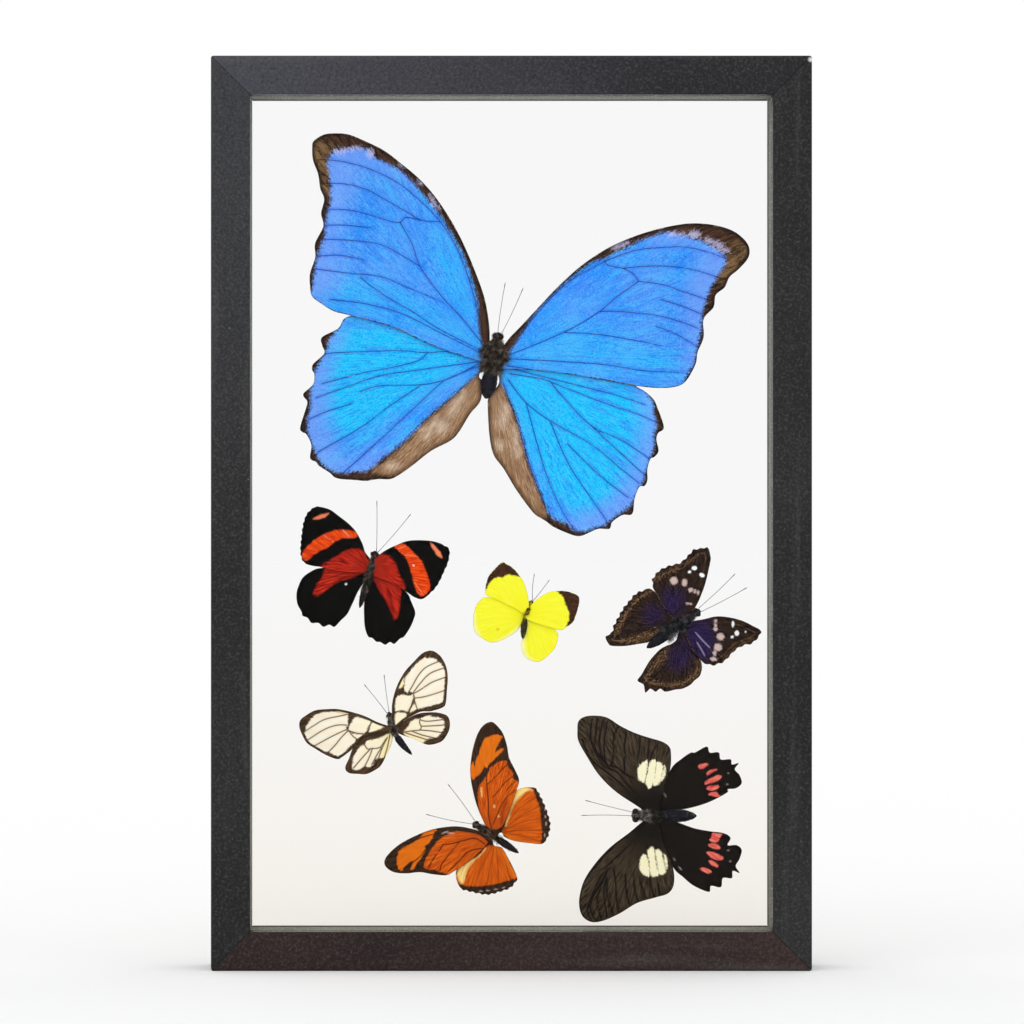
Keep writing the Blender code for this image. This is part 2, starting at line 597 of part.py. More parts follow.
def orange_longwing():
    """The orange one with dark bars, low in the middle, head up and left."""
    insect = Butterfly(
        "orange_longwing", (-7.1, 44.8), (-5.6, 3.3), (10.0, -7.0), (1.2, 1.7, 1.3), 0.9, 0.03
    )
    insect.body(
        (0.025, 0.02, 0.02),
        (((-4.8, 3.9), (-13.8, 16.2), 0.2), ((-5.3, 2.7), (-21.2, 6.1), -0.3)),
    )
    orange, pale = (0.65, 0.16, 0.02), (0.75, 0.20, 0.02)
    insect.wing("right_forewing", orange, (
        (0.2, 0.0), (-2.2, 4.3), (-4.2, 9.3), (-5.5, 14.3), (-6.3, 19.7), (-6.0, 24.7),
        (-5.1, 29.3), (-3.7, 33.3), (-1.7, 36.0), (0.7, 37.0), (2.7, 35.7), (4.7, 33.0),
        (6.0, 29.0), (6.7, 25.0), (8.3, 21.7), (10.0, 17.7), (9.3, 14.3), (6.3, 6.0),
        (2.6, -1.4),
    ))
    insect.wing("left_forewing", orange, (
        (-0.6, -0.6), (-5.7, 1.2), (-10.7, 2.0), (-15.3, 1.7), (-20.0, 0.7), (-25.0, -1.3),
        (-30.0, -4.0), (-33.7, -7.3), (-35.0, -9.7), (-34.3, -11.7), (-31.7, -13.3),
        (-27.7, -13.7), (-23.0, -13.3), (-18.7, -14.0), (-14.3, -14.3), (-11.7, -13.0),
        (-8.0, -10.7), (-4.3, -7.7), (0.0, -3.0),
    ))
    insect.wing("right_hindwing", pale, (
        (9.3, 14.0), (12.3, 15.0), (15.7, 14.7), (17.3, 12.3), (18.7, 9.3), (20.0, 5.7),
        (20.7, 2.3), (20.0, -1.3), (19.0, -3.0), (17.3, -4.0), (13.7, -3.7), (8.6, -3.0),
        (5.2, -1.6), (4.2, -0.2), (1.4, -0.6), (4.3, 5.7), (6.3, 10.7),
    ))
    insect.wing("left_hindwing", pale, (
        (-10.7, -12.3), (-11.0, -15.3), (-10.0, -18.0), (-9.0, -19.3), (-3.3, -20.7),
        (0.0, -21.0), (4.0, -20.0), (7.3, -18.7), (9.3, -16.3), (9.3, -14.7), (7.3, -10.3),
        (4.7, -5.7), (3.3, -4.8), (1.7, -4.4), (0.4, -1.8), (-3.7, -6.7), (-8.0, -10.0),
    ))


def cattleheart():
    """The black one with cream and pink patches, low at the right, head to the left."""
    insect = Butterfly(
        "cattleheart", (47.4, 50.2), (-7.1, 0.3), (15.0, 0.1), (2.0, 2.5, 2.3), 0.85, 0.03
    )
    insect.body(
        (0.03, 0.027, 0.025),
        (((-6.2, 1.3), (-22.5, 5.4), -0.1), ((-6.6, 0.1), (-23.8, 0.3), 0.2)),
    )
    black = (0.06, 0.045, 0.035)
    insect.wing("right_forewing", black, (
        (-1.0, 0.2), (-4.4, 3.0), (-12.0, 8.1), (-17.7, 13.7), (-22.0, 20.3),
        (-24.7, 25.3), (-25.0, 28.7), (-24.7, 31.7), (-22.7, 33.3), (-19.0, 33.7),
        (-15.0, 33.0), (-10.7, 30.3), (-6.0, 28.0), (-1.0, 26.3), (3.3, 25.0), (5.7, 23.3),
        (6.3, 20.7), (6.0, 15.7), (4.0, 8.7), (2.0, 1.3),
    ))
    insect.wing("left_forewing", black, (
        (-1.0, -0.2), (-7.7, -5.5), (-14.0, -10.3), (-19.0, -15.7), (-22.7, -21.3),
        (-24.3, -26.7), (-24.3, -30.7), (-23.0, -33.7), (-20.0, -35.3), (-16.0, -34.7),
        (-10.7, -32.3), (-5.0, -28.9), (1.0, -27.1), (5.3, -25.7), (7.2, -22.7),
        (7.0, -17.3), (4.3, -9.7), (2.0, -1.3),
    ))
    insect.wing("right_hindwing", black, (
        (6.3, 15.7), (10.0, 19.3), (13.0, 21.3), (14.3, 21.3), (18.3, 23.3), (19.3, 21.3),
        (22.3, 21.3), (23.0, 19.0), (26.3, 19.0), (26.7, 17.3), (29.0, 17.7), (27.7, 15.7),
        (29.3, 13.7), (30.0, 11.0), (28.0, 9.3), (25.3, 9.0), (25.3, 8.0), (21.3, 5.7),
        (17.3, 4.0), (12.3, 2.6), (5.3, 1.4), (2.4, 0.9), (2.7, 6.3),
    ))
    insect.wing("left_hindwing", black, (
        (7.0, -17.0), (10.3, -20.3), (14.0, -23.3), (19.0, -25.3), (19.7, -23.3),
        (23.0, -23.7), (23.7, -20.7), (26.7, -20.7), (27.0, -18.3), (29.3, -19.0),
        (28.0, -16.7), (29.3, -14.3), (30.0, -11.3), (28.3, -9.7), (25.3, -9.7),
        (26.3, -7.3), (24.0, -5.7), (19.0, -5.0), (14.0, -4.0), (9.0, -2.2), (5.3, -1.1),
        (2.4, -0.9), (2.7, -7.3),
    ))


frame_rails()
glass_panes()
spacer_strips()
blue_morpho()
red_banded()
yellow_sulphur()
purple_spotted()
clearwing()
orange_longwing()
cattleheart()
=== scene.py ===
import math

import bpy
import numpy as np
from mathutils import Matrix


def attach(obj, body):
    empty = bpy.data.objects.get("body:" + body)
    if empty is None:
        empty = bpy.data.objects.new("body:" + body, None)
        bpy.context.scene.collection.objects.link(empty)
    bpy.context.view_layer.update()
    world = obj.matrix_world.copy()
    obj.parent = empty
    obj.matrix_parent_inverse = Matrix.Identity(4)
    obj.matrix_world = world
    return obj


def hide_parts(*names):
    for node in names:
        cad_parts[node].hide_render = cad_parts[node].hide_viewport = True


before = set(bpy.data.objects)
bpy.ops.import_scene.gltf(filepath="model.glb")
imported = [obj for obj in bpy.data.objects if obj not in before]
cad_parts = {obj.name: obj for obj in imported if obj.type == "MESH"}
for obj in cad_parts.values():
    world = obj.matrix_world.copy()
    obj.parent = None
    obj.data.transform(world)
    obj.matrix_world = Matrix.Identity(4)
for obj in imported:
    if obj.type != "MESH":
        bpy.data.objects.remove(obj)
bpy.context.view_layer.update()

# The frame is four lengths of wooden moulding, mitred and glued at the corners, with one groove
# run along the inner side for glass and spacers. It is sprayed satin black after gluing, so the
# paint runs over the joints, where a hairline shows, and over edges that were eased by sanding.
MM = 0.001
FRAME_WIDTH, FRAME_HEIGHT, FRAME_DEPTH = 199.0, 303.0, 24.0
RAIL_WIDTH, LIP, GROOVE = 13.0, 3.0, 6.0
CORNER_ROUNDING = 1.0
EASED_EDGES = (0.45, 1.0, 1.0, 0.45, 0.3, 0.2, 0.2, 0.3)
HAIRLINE = 0.22
RINGS_FROM_MITRE = (0.0, 0.06, HAIRLINE, 0.4, 0.7, 1.0, 1.4, 3.0)
RINGS_BETWEEN = 24
NICK_AT, NICK_SIZE = (98.9 * MM, -11.6 * MM, 301.6 * MM), 0.75
# Where the painted sheen of reflected light on the black paint centres, and how far it reaches.
PAINTED_SHEEN_AT, PAINTED_SHEEN_REACH = (-FRAME_WIDTH / 2 * MM, 0.0, FRAME_HEIGHT * MM), 0.17
SHARP_EDGE = 50


def linear(red, green, blue):
    """An sRGB colour of 0 to 255 made linear: ((c + 0.055) / 1.055) ** 2.4, dark ones c / 12.92."""
    share = np.array((red, green, blue)) / 255
    curve = np.where(share > 0.04045, ((share + 0.055) / 1.055) ** 2.4, share / 12.92)
    return (*curve.tolist(), 1.0)


class Signal:
    """A socket in a finish. Sums written with it become Math nodes of the same finish."""

    def __init__(self, finish, socket):
        self.finish, self.socket = finish, socket

    def sum(self, operation, first, second, clamp=False):
        settings = {"operation": operation, "use_clamp": clamp}
        return self.finish.node("Math", settings, {0: first, 1: second})

    def __add__(self, other):
        return self.sum("ADD", self, other)

    def __sub__(self, other):
        return self.sum("SUBTRACT", self, other)

    def __rsub__(self, other):
        return self.sum("SUBTRACT", other, self)

    def __mul__(self, other):
        return self.sum("MULTIPLY", self, other)

    def __truediv__(self, other):
        return self.sum("DIVIDE", self, other)

    def __abs__(self):
        return self.sum("ABSOLUTE", self, 0.0)

    def __pow__(self, other):
        return self.sum("POWER", self, other)

    __radd__, __rmul__ = __add__, __mul__

    def sine(self):
        return self.sum("SINE", self, 0.0)

    def clamp(self):
        return self.sum("MULTIPLY", self, 1.0, clamp=True)


class Finish:
    """A material: its Principled shader and whatever nodes its pattern needs."""

    def __init__(self, name, constants):
        self.material = bpy.data.materials.new(name)
        self.material.use_nodes = True
        self.tree = self.material.node_tree
        self.shader = self.tree.nodes["Principled BSDF"]
        for socket, value in constants.items():
            self.shader.inputs[socket].default_value = value

    def feed(self, socket, value):
        if isinstance(value, Signal):
            self.tree.links.new(value.socket, socket)
        else:
            socket.default_value = value

    def node(self, kind, settings, sockets, output=0):
        made = self.tree.nodes.new("ShaderNode" + kind)
        for key, value in settings.items():
            setattr(made, key, value)
        for key, value in sockets.items():
            self.feed(made.inputs[key], value)
        return Signal(self, made.outputs[output])

    def set(self, socket, value):
        self.feed(self.shader.inputs[socket], value)

    def mix(self, factor, first, second):
        """The first colour turned by factor to the second. A tuple is sRGB of 0 to 255."""
        first, second = (linear(*c) if isinstance(c, tuple) else c for c in (first, second))
        sockets = {0: factor, 6: first, 7: second}
        return self.node("Mix", {"data_type": "RGBA", "clamp_factor": True}, sockets, output=2)

    def field(self, name):
        """One of the piece's own attributes, a number at each point of its surface."""
        return self.node("Attribute", {"attribute_name": name}, {}, output=2)

    def place(self, stretch=(1.0, 1.0, 1.0)):
        """Object coordinates, stretched."""
        where = self.node("TexCoord", {}, {}, output=3)
        return self.node("Mapping", {}, {"Vector": where, "Scale": stretch})

    def away(self, point):
        """The distance from a point of the frame, in metres."""
        sockets = {0: self.place(), 1: point}
        return self.node("VectorMath", {"operation": "DISTANCE"}, sockets, output=1)

    def noise(self, where, scale, detail=3.0, roughness=0.55):
        sockets = {"Vector": where, "Scale": scale, "Detail": detail, "Roughness": roughness}
        return self.node("TexNoise", {}, sockets)

    def bump(self, height, strength, distance):
        sockets = {"Height": height, "Strength": strength, "Distance": distance * MM}
        self.set("Normal", self.node("Bump", {}, sockets))


def closed_skin(rows):
    """A closed surface over a grid of rings, with a pole at the middle of the first and last.

    rows is (rings, around, 3). Each four neighbours make a face and each pole a fan, turned so
    that the volume comes out positive: the sum of a . (b x c) / 6 over the triangles.
    """
    rings, around = rows.shape[:2]
    points = np.vstack((rows[:1].mean(1), rows.reshape(-1, 3), rows[-1:].mean(1)))
    i, j = np.meshgrid(np.arange(rings - 1), np.arange(around), indexing="ij")
    a, b = (1 + i * around + j).ravel(), (1 + i * around + (j + 1) % around).ravel()
    quads = np.column_stack((a, b, b + around, a + around))
    j = np.arange(around)
    k, last = (j + 1) % around, 1 + (rings - 1) * around
    start = np.column_stack((np.zeros_like(j), 1 + k, 1 + j))
    end = np.column_stack((np.full_like(j, last + around), last + j, last + k))
    tris = np.vstack((start, end))
    split = np.vstack((quads[:, :3], quads[:, [0, 2, 3]], tris))
    one, two, three = (points[split[:, k]] for k in range(3))
    if np.einsum("ij,ij->i", one, np.cross(two, three)).sum() < 0:
        quads, tris = quads[:, ::-1], tris[:, ::-1]
    return points, quads, tris


def piece(name, skin, finish, stands_for, fields=None, sharp=None):
    """A finished piece from points in millimetres, riding the frame in place of a CAD node."""
    points, quads, tris = skin
    mesh = bpy.data.meshes.new(name)
    mesh.vertices.add(len(points))
    mesh.vertices.foreach_set("co", (points * MM).ravel())
    mesh.loops.add(quads.size + tris.size)
    mesh.loops.foreach_set("vertex_index", np.concatenate((quads.ravel(), tris.ravel())))
    mesh.polygons.add(len(quads) + len(tris))
    starts = np.concatenate((np.arange(len(quads)) * 4, quads.size + np.arange(len(tris)) * 3))
    mesh.polygons.foreach_set("loop_start", starts)
    mesh.update(calc_edges=True)
    mesh.shade_smooth()
    if sharp:
        mesh.set_sharp_from_angle(angle=math.radians(sharp))
    for key, values in (fields or {}).items():
        kind, part = ("FLOAT_VECTOR", "vector") if values.ndim == 2 else ("FLOAT", "value")
        mesh.attributes.new(key, kind, "POINT").data.foreach_set(part, values.ravel())
    mesh.materials.append(finish.material)
    thing = bpy.data.objects.new(name, mesh)
    bpy.context.scene.collection.objects.link(thing)
    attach(thing, "root")
    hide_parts(stands_for)


def black_paint(name, stretch, dark, light, painted_sheen):
    """Satin black paint, with the streaks of the brush and grain along the rail.

    A painted sheen of reflected light, a lighter bluish grey, brightens it towards the frame's
    upper left corner, and specks of dust lie all over. At the upper right corner a nick shows the
    pale ground under the paint.
    """
    finish = Finish(name, {"Specular IOR Level": 0.16})
    streaks = finish.noise(finish.place(stretch), 220.0, 4.0)
    blotches = finish.noise(finish.place(), 16.0, 2.0)
    grit = finish.noise(finish.place(), 1100.0, 3.0, 0.7)
    cells = {"Vector": finish.place(), "Scale": 150.0}
    from_speck = finish.node("TexVoronoi", {}, cells)
    lot = finish.node("SeparateColor", {}, {0: finish.node("TexVoronoi", {}, cells, output=1)})
    dust = (1.4 - from_speck / 0.035).clamp() * ((lot - 0.93) * 60.0).clamp()
    nick = (1.9 - (finish.away(NICK_AT) / MM + streaks * 0.7) / NICK_SIZE).clamp()
    paint = finish.mix((blotches - 0.3) * 2.5, dark, light)
    # Painted sheen: reflected light painted in as a lighter bluish grey near the upper left corner.
    paint = finish.mix((1.0 - finish.away(PAINTED_SHEEN_AT) / PAINTED_SHEEN_REACH).clamp() * 0.9, paint, painted_sheen)
    paint = finish.mix((streaks - 0.56) * 1.6, paint, (83, 80, 79))
    paint = finish.mix((grit - 0.5) * 1.2, paint, (104, 103, 102))
    paint = finish.mix((0.46 - grit) * 3.0, paint, (4, 4, 5))
    paint = finish.mix(dust * 0.75, paint, (190, 190, 186))
    finish.set("Base Color", finish.mix(nick, paint, (225, 222, 214)))
    finish.set("Roughness", 0.3 + streaks * 0.16 + dust * 0.3)
    finish.bump(streaks, 0.12, 0.25)
    return finish


def rail_profile():
    """The moulding's section, (outward, depth), with each corner a small Bezier arc.

    A corner C with arms A and B is (1 - t)^2 A + 2 t (1 - t) C + t^2 B, with one more point on
    each arm so that the flat faces stay flat when they are shaded.
    """
    half = FRAME_DEPTH / 2
    corners = np.array((
        (0.0, -half), (RAIL_WIDTH, -half), (RAIL_WIDTH, half), (0.0, half),
        (0.0, half - LIP), (GROOVE, half - LIP), (GROOVE, LIP - half), (0.0, LIP - half),
    ))
    radii = np.array(EASED_EDGES)[:, None]
    before, after = np.roll(corners, 1, axis=0) - corners, np.roll(corners, -1, axis=0) - corners
    before *= radii / np.hypot(*before.T)[:, None]
    after *= radii / np.hypot(*after.T)[:, None]
    t = np.linspace(0, 1, 6)[None, :, None]
    arm, centre, leg = (corners + before)[:, None], corners[:, None], (corners + after)[:, None]
    arcs = (1 - t) ** 2 * arm + 2 * t * (1 - t) * centre + t * t * leg
    arcs = np.concatenate((arm + before[:, None] * 0.3, arcs, leg + after[:, None] * 0.3), axis=1)
    return arcs.reshape(-1, 2)


def rail(side, upright, way, finish):
    """The moulding carried along one side of the opening, from mitre to mitre.

    A point that lies o outwards on the section runs from -(h + o) to h + o along the side, with
    h half the opening. Its ends dip by HAIRLINE at the glue line, and the frame's corner is
    rounded: past the corner's centre, (a, b) is divided by its length where that is over 1.
    """
    section = rail_profile()
    tangent = np.roll(section, -1, axis=0) - np.roll(section, 1, axis=0)
    normal = np.column_stack((tangent[:, 1], -tangent[:, 0])) / np.hypot(*tangent.T)[:, None]
    wide, tall = FRAME_WIDTH / 2 - RAIL_WIDTH, FRAME_HEIGHT / 2 - RAIL_WIDTH
    half, off = (tall, wide) if upright else (wide, tall)
    ends = np.array(RINGS_FROM_MITRE)
    between = np.linspace(0, 1, RINGS_BETWEEN + 2)[1:-1]
    share = np.concatenate((np.zeros(len(ends)), between, np.ones(len(ends))))
    back = np.concatenate((ends, np.full(RINGS_BETWEEN, ends[-1]), ends[::-1]))
    dip = HAIRLINE * (1 - np.clip(back / HAIRLINE, 0, 1)) ** 2
    sunk = section[None] - normal[None] * dip[:, None, None]
    reach = half + sunk[..., 0]
    start, end = -reach + ends[-1], reach - ends[-1]
    along = start + (end - start) * share[:, None]
    lead = (ends[-1] - back)[:, None]
    along = np.where(share[:, None] == 0, along - lead, along)
    along = np.where(share[:, None] == 1, along + lead, along)
    out = way * (off + sunk[..., 0])
    x, z = (out, along) if upright else (along, out)
    round_x, round_z = FRAME_WIDTH / 2 - CORNER_ROUNDING, FRAME_HEIGHT / 2 - CORNER_ROUNDING
    a, b = np.abs(x) - round_x, np.abs(z) - round_z
    far = np.where((a > 0) & (b > 0), np.maximum(np.hypot(a, b) / CORNER_ROUNDING, 1.0), 1.0)
    x = np.where(far > 1, np.sign(x) * (round_x + a / far), x)
    z = np.where(far > 1, np.sign(z) * (round_z + b / far), z)
    rows = np.stack((x, sunk[..., 1], z + FRAME_HEIGHT / 2), axis=-1)
    node, skin = "rail_" + side, closed_skin(rows)
    piece(side + "_rail", skin, finish, node, sharp=SHARP_EDGE)


along_x, along_z = (0.06, 1.0, 1.0), (1.0, 1.0, 0.06)
# One satin black paint in three tones, as painted light: the top rail lighter and greyer from
# painted reflected light above, the bottom rail warmer, the sides between. The last colour of each
# is its painted sheen.
top_paint = black_paint("black paint above", along_x, (16, 16, 18), (36, 36, 39), (67, 67, 76))
low_paint = black_paint("black paint below", along_x, (33, 20, 19), (49, 34, 31), (62, 62, 70))
side_paint = black_paint("black paint beside", along_z, (20, 20, 21), (38, 38, 39), (54, 55, 59))
rail("top", False, 1, top_paint)
rail("bottom", False, -1, low_paint)
rail("left", True, -1, side_paint)
rail("right", True, 1, side_paint)


# Four strips of grey card hold the panes apart. They are cut from speckled board and glued in
# the groove between the panes, so that a thin grey line shows along the opening.
def refinish(nodes, finish):
    """CAD nodes whose shape is right get their finish."""
    for node in nodes:
        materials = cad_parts[node].data.materials
        materials.clear()
        materials.append(finish.material)


strip_board = Finish("speckled grey board", {"Roughness": 0.85, "Specular IOR Level": 0.2})
fleck = strip_board.noise(strip_board.place(), 1400.0, 3.0)
cloud = strip_board.noise(strip_board.place(), 90.0, 2.0)
board = strip_board.mix(cloud, (96, 99, 92), (132, 134, 124))
board = strip_board.mix((fleck - 0.5) * 5.0, board, (188, 190, 178))
strip_board.set("Base Color", board)
strip_board.bump(fleck, 0.5, 0.15)
refinish(("spacer_bottom", "spacer_top", "spacer_left", "spacer_right"), strip_board)

# Two panes of clear float glass, 2 mm thick, polished and nearly free of reflections from the
# front. Each takes a few hundredths of the light, and painted warm shade darkens the lower third.
PAINTED_SHADE_TOP, PAINTED_SHADE_FADE = 0.128, 0.11
CLEAR, PAINTED_SHADE_TINT = (0.982, 0.982, 0.982, 1.0), (0.981, 0.972, 0.957, 1.0)
GLASS_IOR, POLISH = 1.5, 0.02
pane_glass = Finish("clear pane", {})
height = pane_glass.node("SeparateXYZ", {}, {0: pane_glass.place()}, output=2)
uneven_shade = 0.7 + pane_glass.noise(pane_glass.place(), 22.0) * 0.6
# Painted shade: the lower third of both panes passes a warmer, darker tint, unevenly.
painted_shade = (((PAINTED_SHADE_TOP - height) / PAINTED_SHADE_FADE).clamp() * uneven_shade).clamp()
above = pane_glass.node("BsdfTransparent", {}, {"Color": CLEAR})
below = pane_glass.node("BsdfTransparent", {}, {"Color": PAINTED_SHADE_TINT})
clear = pane_glass.node("MixShader", {}, {0: painted_shade, 1: above, 2: below})
polish = pane_glass.node("BsdfGlossy", {}, {"Color": (1, 1, 1, 1), "Roughness": POLISH})
inside_face = pane_glass.node("NewGeometry", {}, {}, output=6)
mirrored = pane_glass.node("Fresnel", {}, {"IOR": GLASS_IOR}) ** 2.0 * 1.3 * (1.0 - inside_face)
surface = pane_glass.node("MixShader", {}, {0: mirrored, 1: clear, 2: polish})
pane_glass.feed(pane_glass.tree.nodes["Material Output"].inputs["Surface"], surface)
pane_glass.tree.nodes.remove(pane_glass.shader)
refinish(("front_glass", "back_glass"), pane_glass)

# A blue morpho, the largest specimen: a dried insect, spread flat and glued by its underside to
# the back pane. Its wings are thin membranes on branching veins, and rows of tiny scales give
# them their blue, their brown border and the silky brown of the folded inner hindwing.
BACK_PANE_FACE = 6.7
GLUE = 0.3
FOREWING_FORWARD, HINDWING_BACK = 0.6, 0.5
MEMBRANE = 0.16
CAMBER, WAVE = 0.35, 0.14
SWELL, SWELL_REACH = 0.12, 1.1
VEIN_FROM_RIM = 0.12
EYE_PIXEL, EYE_AT = np.array((393.6, 513.2)), np.array((-39.0, 151.5))
PIXELS_PER_MM = 2.988
HEAD_AND_THORAX = (
    (0.0, 0.0, 0.0), (0.03, 0.72, 0.0), (0.075, 1.0, 0.0), (0.13, 0.72, 0.0),
    (0.18, 0.0, 0.72), (0.26, 0.0, 1.0), (0.37, 0.0, 0.95), (0.45, 0.0, 0.55),
)
WAIST, ABDOMEN_RINGS, GROOVE_DEPTH = 0.45, 8.0, 0.05
FRONT_ROWS, REAR_ROWS, TRUNK_AROUND = 60, 91, 40
THORAX_BUMPS, EASING = 0.035, 0.018
EYE_SHARE, EYE_SIZE, EYE_OUTWARD, EYE_FORWARD = 0.07, 0.56, 0.62, 0.35
FEELER_RADIUS, CLUB_SWELL, FEELER_TIP, FEELER_FORWARD = 0.085, 0.05, 0.03, 1.2
HAIR_WIDTH, HAIR_SPREAD, HAIRS_BEHIND = 0.05, 0.45, 0.2
BODY, EYE, FEELER, HAIR = 0.0, 1.0, 2.0, 3.0
chance = np.random.default_rng(7)


def read_places(written):
    """Rows of two numbers, from places written as "x,z x,z"."""
    return np.array([[float(number) for number in place.split(",")] for place in written.split()])


def ellipse(x, y, wide, tall, lean=0.0):
    """Twelve places round an oval mark: its middle, its two widths and its lean in degrees."""
    turn = np.linspace(0, 2 * np.pi, 12, endpoint=False)
    a, b, lean = wide / 2 * np.cos(turn), tall / 2 * np.sin(turn), math.radians(lean)
    across = a * math.cos(lean) - b * math.sin(lean)
    down = a * math.sin(lean) + b * math.cos(lean)
    return np.column_stack((x + across, y + down))


def several(drawn):
    """Shapes drawn as places with a slash between them, or given as ovals."""
    return [read_places(part) for part in drawn.split("/")] if isinstance(drawn, str) else drawn


def smooth_ring(places, count):
    """A closed curve through places, as count points evenly spaced along it.

    Catmull-Rom between b and c, with neighbours a and d:
    (2b + (c - a) t + (2a - 5b + 4c - d) t^2 + (3b - a - 3c + d) t^3) / 2.
    """
    t = np.linspace(0, 1, 12, endpoint=False)[None, :, None]
    a, b, c, d = (np.roll(places, k, axis=0)[:, None] for k in (1, 0, -1, -2))
    curve = 2 * b + (c - a) * t + (2 * a - 5 * b + 4 * c - d) * t**2
    curve = (curve + (3 * b - a - 3 * c + d) * t**3).reshape(-1, 2) / 2
    curve = np.vstack((curve, curve[:1]))
    run = np.concatenate(([0.0], np.cumsum(np.hypot(*np.diff(curve, axis=0).T))))
    at = np.linspace(0, run[-1], count, endpoint=False)
    return np.column_stack([np.interp(at, run, curve[:, k]) for k in (0, 1)])


def smooth_line(places, count):
    """An open curve through places: the closed one out and back, of which half is kept."""
    there_and_back = np.vstack((places, places[-2:0:-1]))
    full = smooth_ring(there_and_back, 8 * count)
    turn = np.argmin(np.hypot(*(full - places[-1]).T))
    return full[np.linspace(0, turn, count).astype(int)]


def to_edges(spots, starts, ends):
    """Each spot's distance to the nearest of the edges: |p - a - h (b - a)|, h clipped to 0-1."""
    run = ends - starts
    from_start = spots[:, None] - starts[None]
    share = np.clip((from_start * run).sum(-1) / np.maximum((run * run).sum(-1), 1e-9), 0, 1)
    return np.sqrt(((from_start - share[..., None] * run) ** 2).sum(-1)).min(1)


def inside(spots, shapes):
    """How deep each spot lies in the nearest shape: its distance to the edge, negative outside."""
    deepest = np.full(len(spots), -9.0)
    for shape in shapes:
        ends = np.roll(shape, -1, axis=0)
        x, z = spots[:, :1], spots[:, 1:]
        rise = np.where(ends[:, 1] == shape[:, 1], 1e-9, ends[:, 1] - shape[:, 1])
        cross = shape[:, 0] + (ends[:, 0] - shape[:, 0]) * (z - shape[:, 1]) / rise
        crossed = ((shape[:, 1] > z) != (ends[:, 1] > z)) & (x < cross)
        sign = np.where(crossed.sum(1) % 2 == 1, 1.0, -1.0)
        deepest = np.maximum(deepest, sign * to_edges(spots, shape, ends))
    return deepest


def scalloped(edge, places, start, end, count, depth):
    """A rim drawn in by depth (1 - cos 2 pi count s) / 2, s running 0 to 1 from start to end."""
    first, last = (np.argmin(np.hypot(*(edge - places[k]).T)) for k in (start, end))
    share = (np.arange(len(edge)) - first) / (last - first)
    dip = depth * (1 - np.cos(2 * np.pi * count * share)) / 2 * ((share > 0) & (share < 1))
    run = np.roll(edge, -1, axis=0) - np.roll(edge, 1, axis=0)
    inward = np.column_stack((-run[:, 1], run[:, 0])) / np.hypot(*run.T)[:, None]
    inward *= np.sign(((places.mean(0) - edge) * inward).sum())
    return edge + dip[:, None] * inward


def off_lines(spots, lines):
    """Each spot's distance to the nearest line, 9 where there is none."""
    if not lines:
        return np.full(len(spots), 9.0)
    return to_edges(spots, np.vstack([l[:-1] for l in lines]), np.vstack([l[1:] for l in lines]))


def tube(path, radii, around):
    """A round section carried along a path: p + r (cos a side + sin a Y), side level with XZ."""
    run = np.gradient(path, axis=0)
    side = np.column_stack((run[:, 2], np.zeros(len(run)), -run[:, 0]))
    side /= np.maximum(np.linalg.norm(side, axis=1), 1e-9)[:, None]
    turn = np.linspace(0, 2 * np.pi, around, endpoint=False)
    ring = np.cos(turn)[None, :, None] * side[:, None] + np.sin(turn)[None, :, None] * (0, 1, 0)
    return closed_skin(path[:, None] + ring * np.asarray(radii)[:, None, None])


def joined(skins):
    """Several skins as one: their points in a row, and their faces numbered on."""
    starts = np.cumsum([0] + [len(skin[0]) for skin in skins[:-1]])
    points = np.vstack([skin[0] for skin in skins])
    quads, tris = (
        np.vstack([skin[k] + start for skin, start in zip(skins, starts)]) for k in (1, 2)
    )
    return points, quads, tris


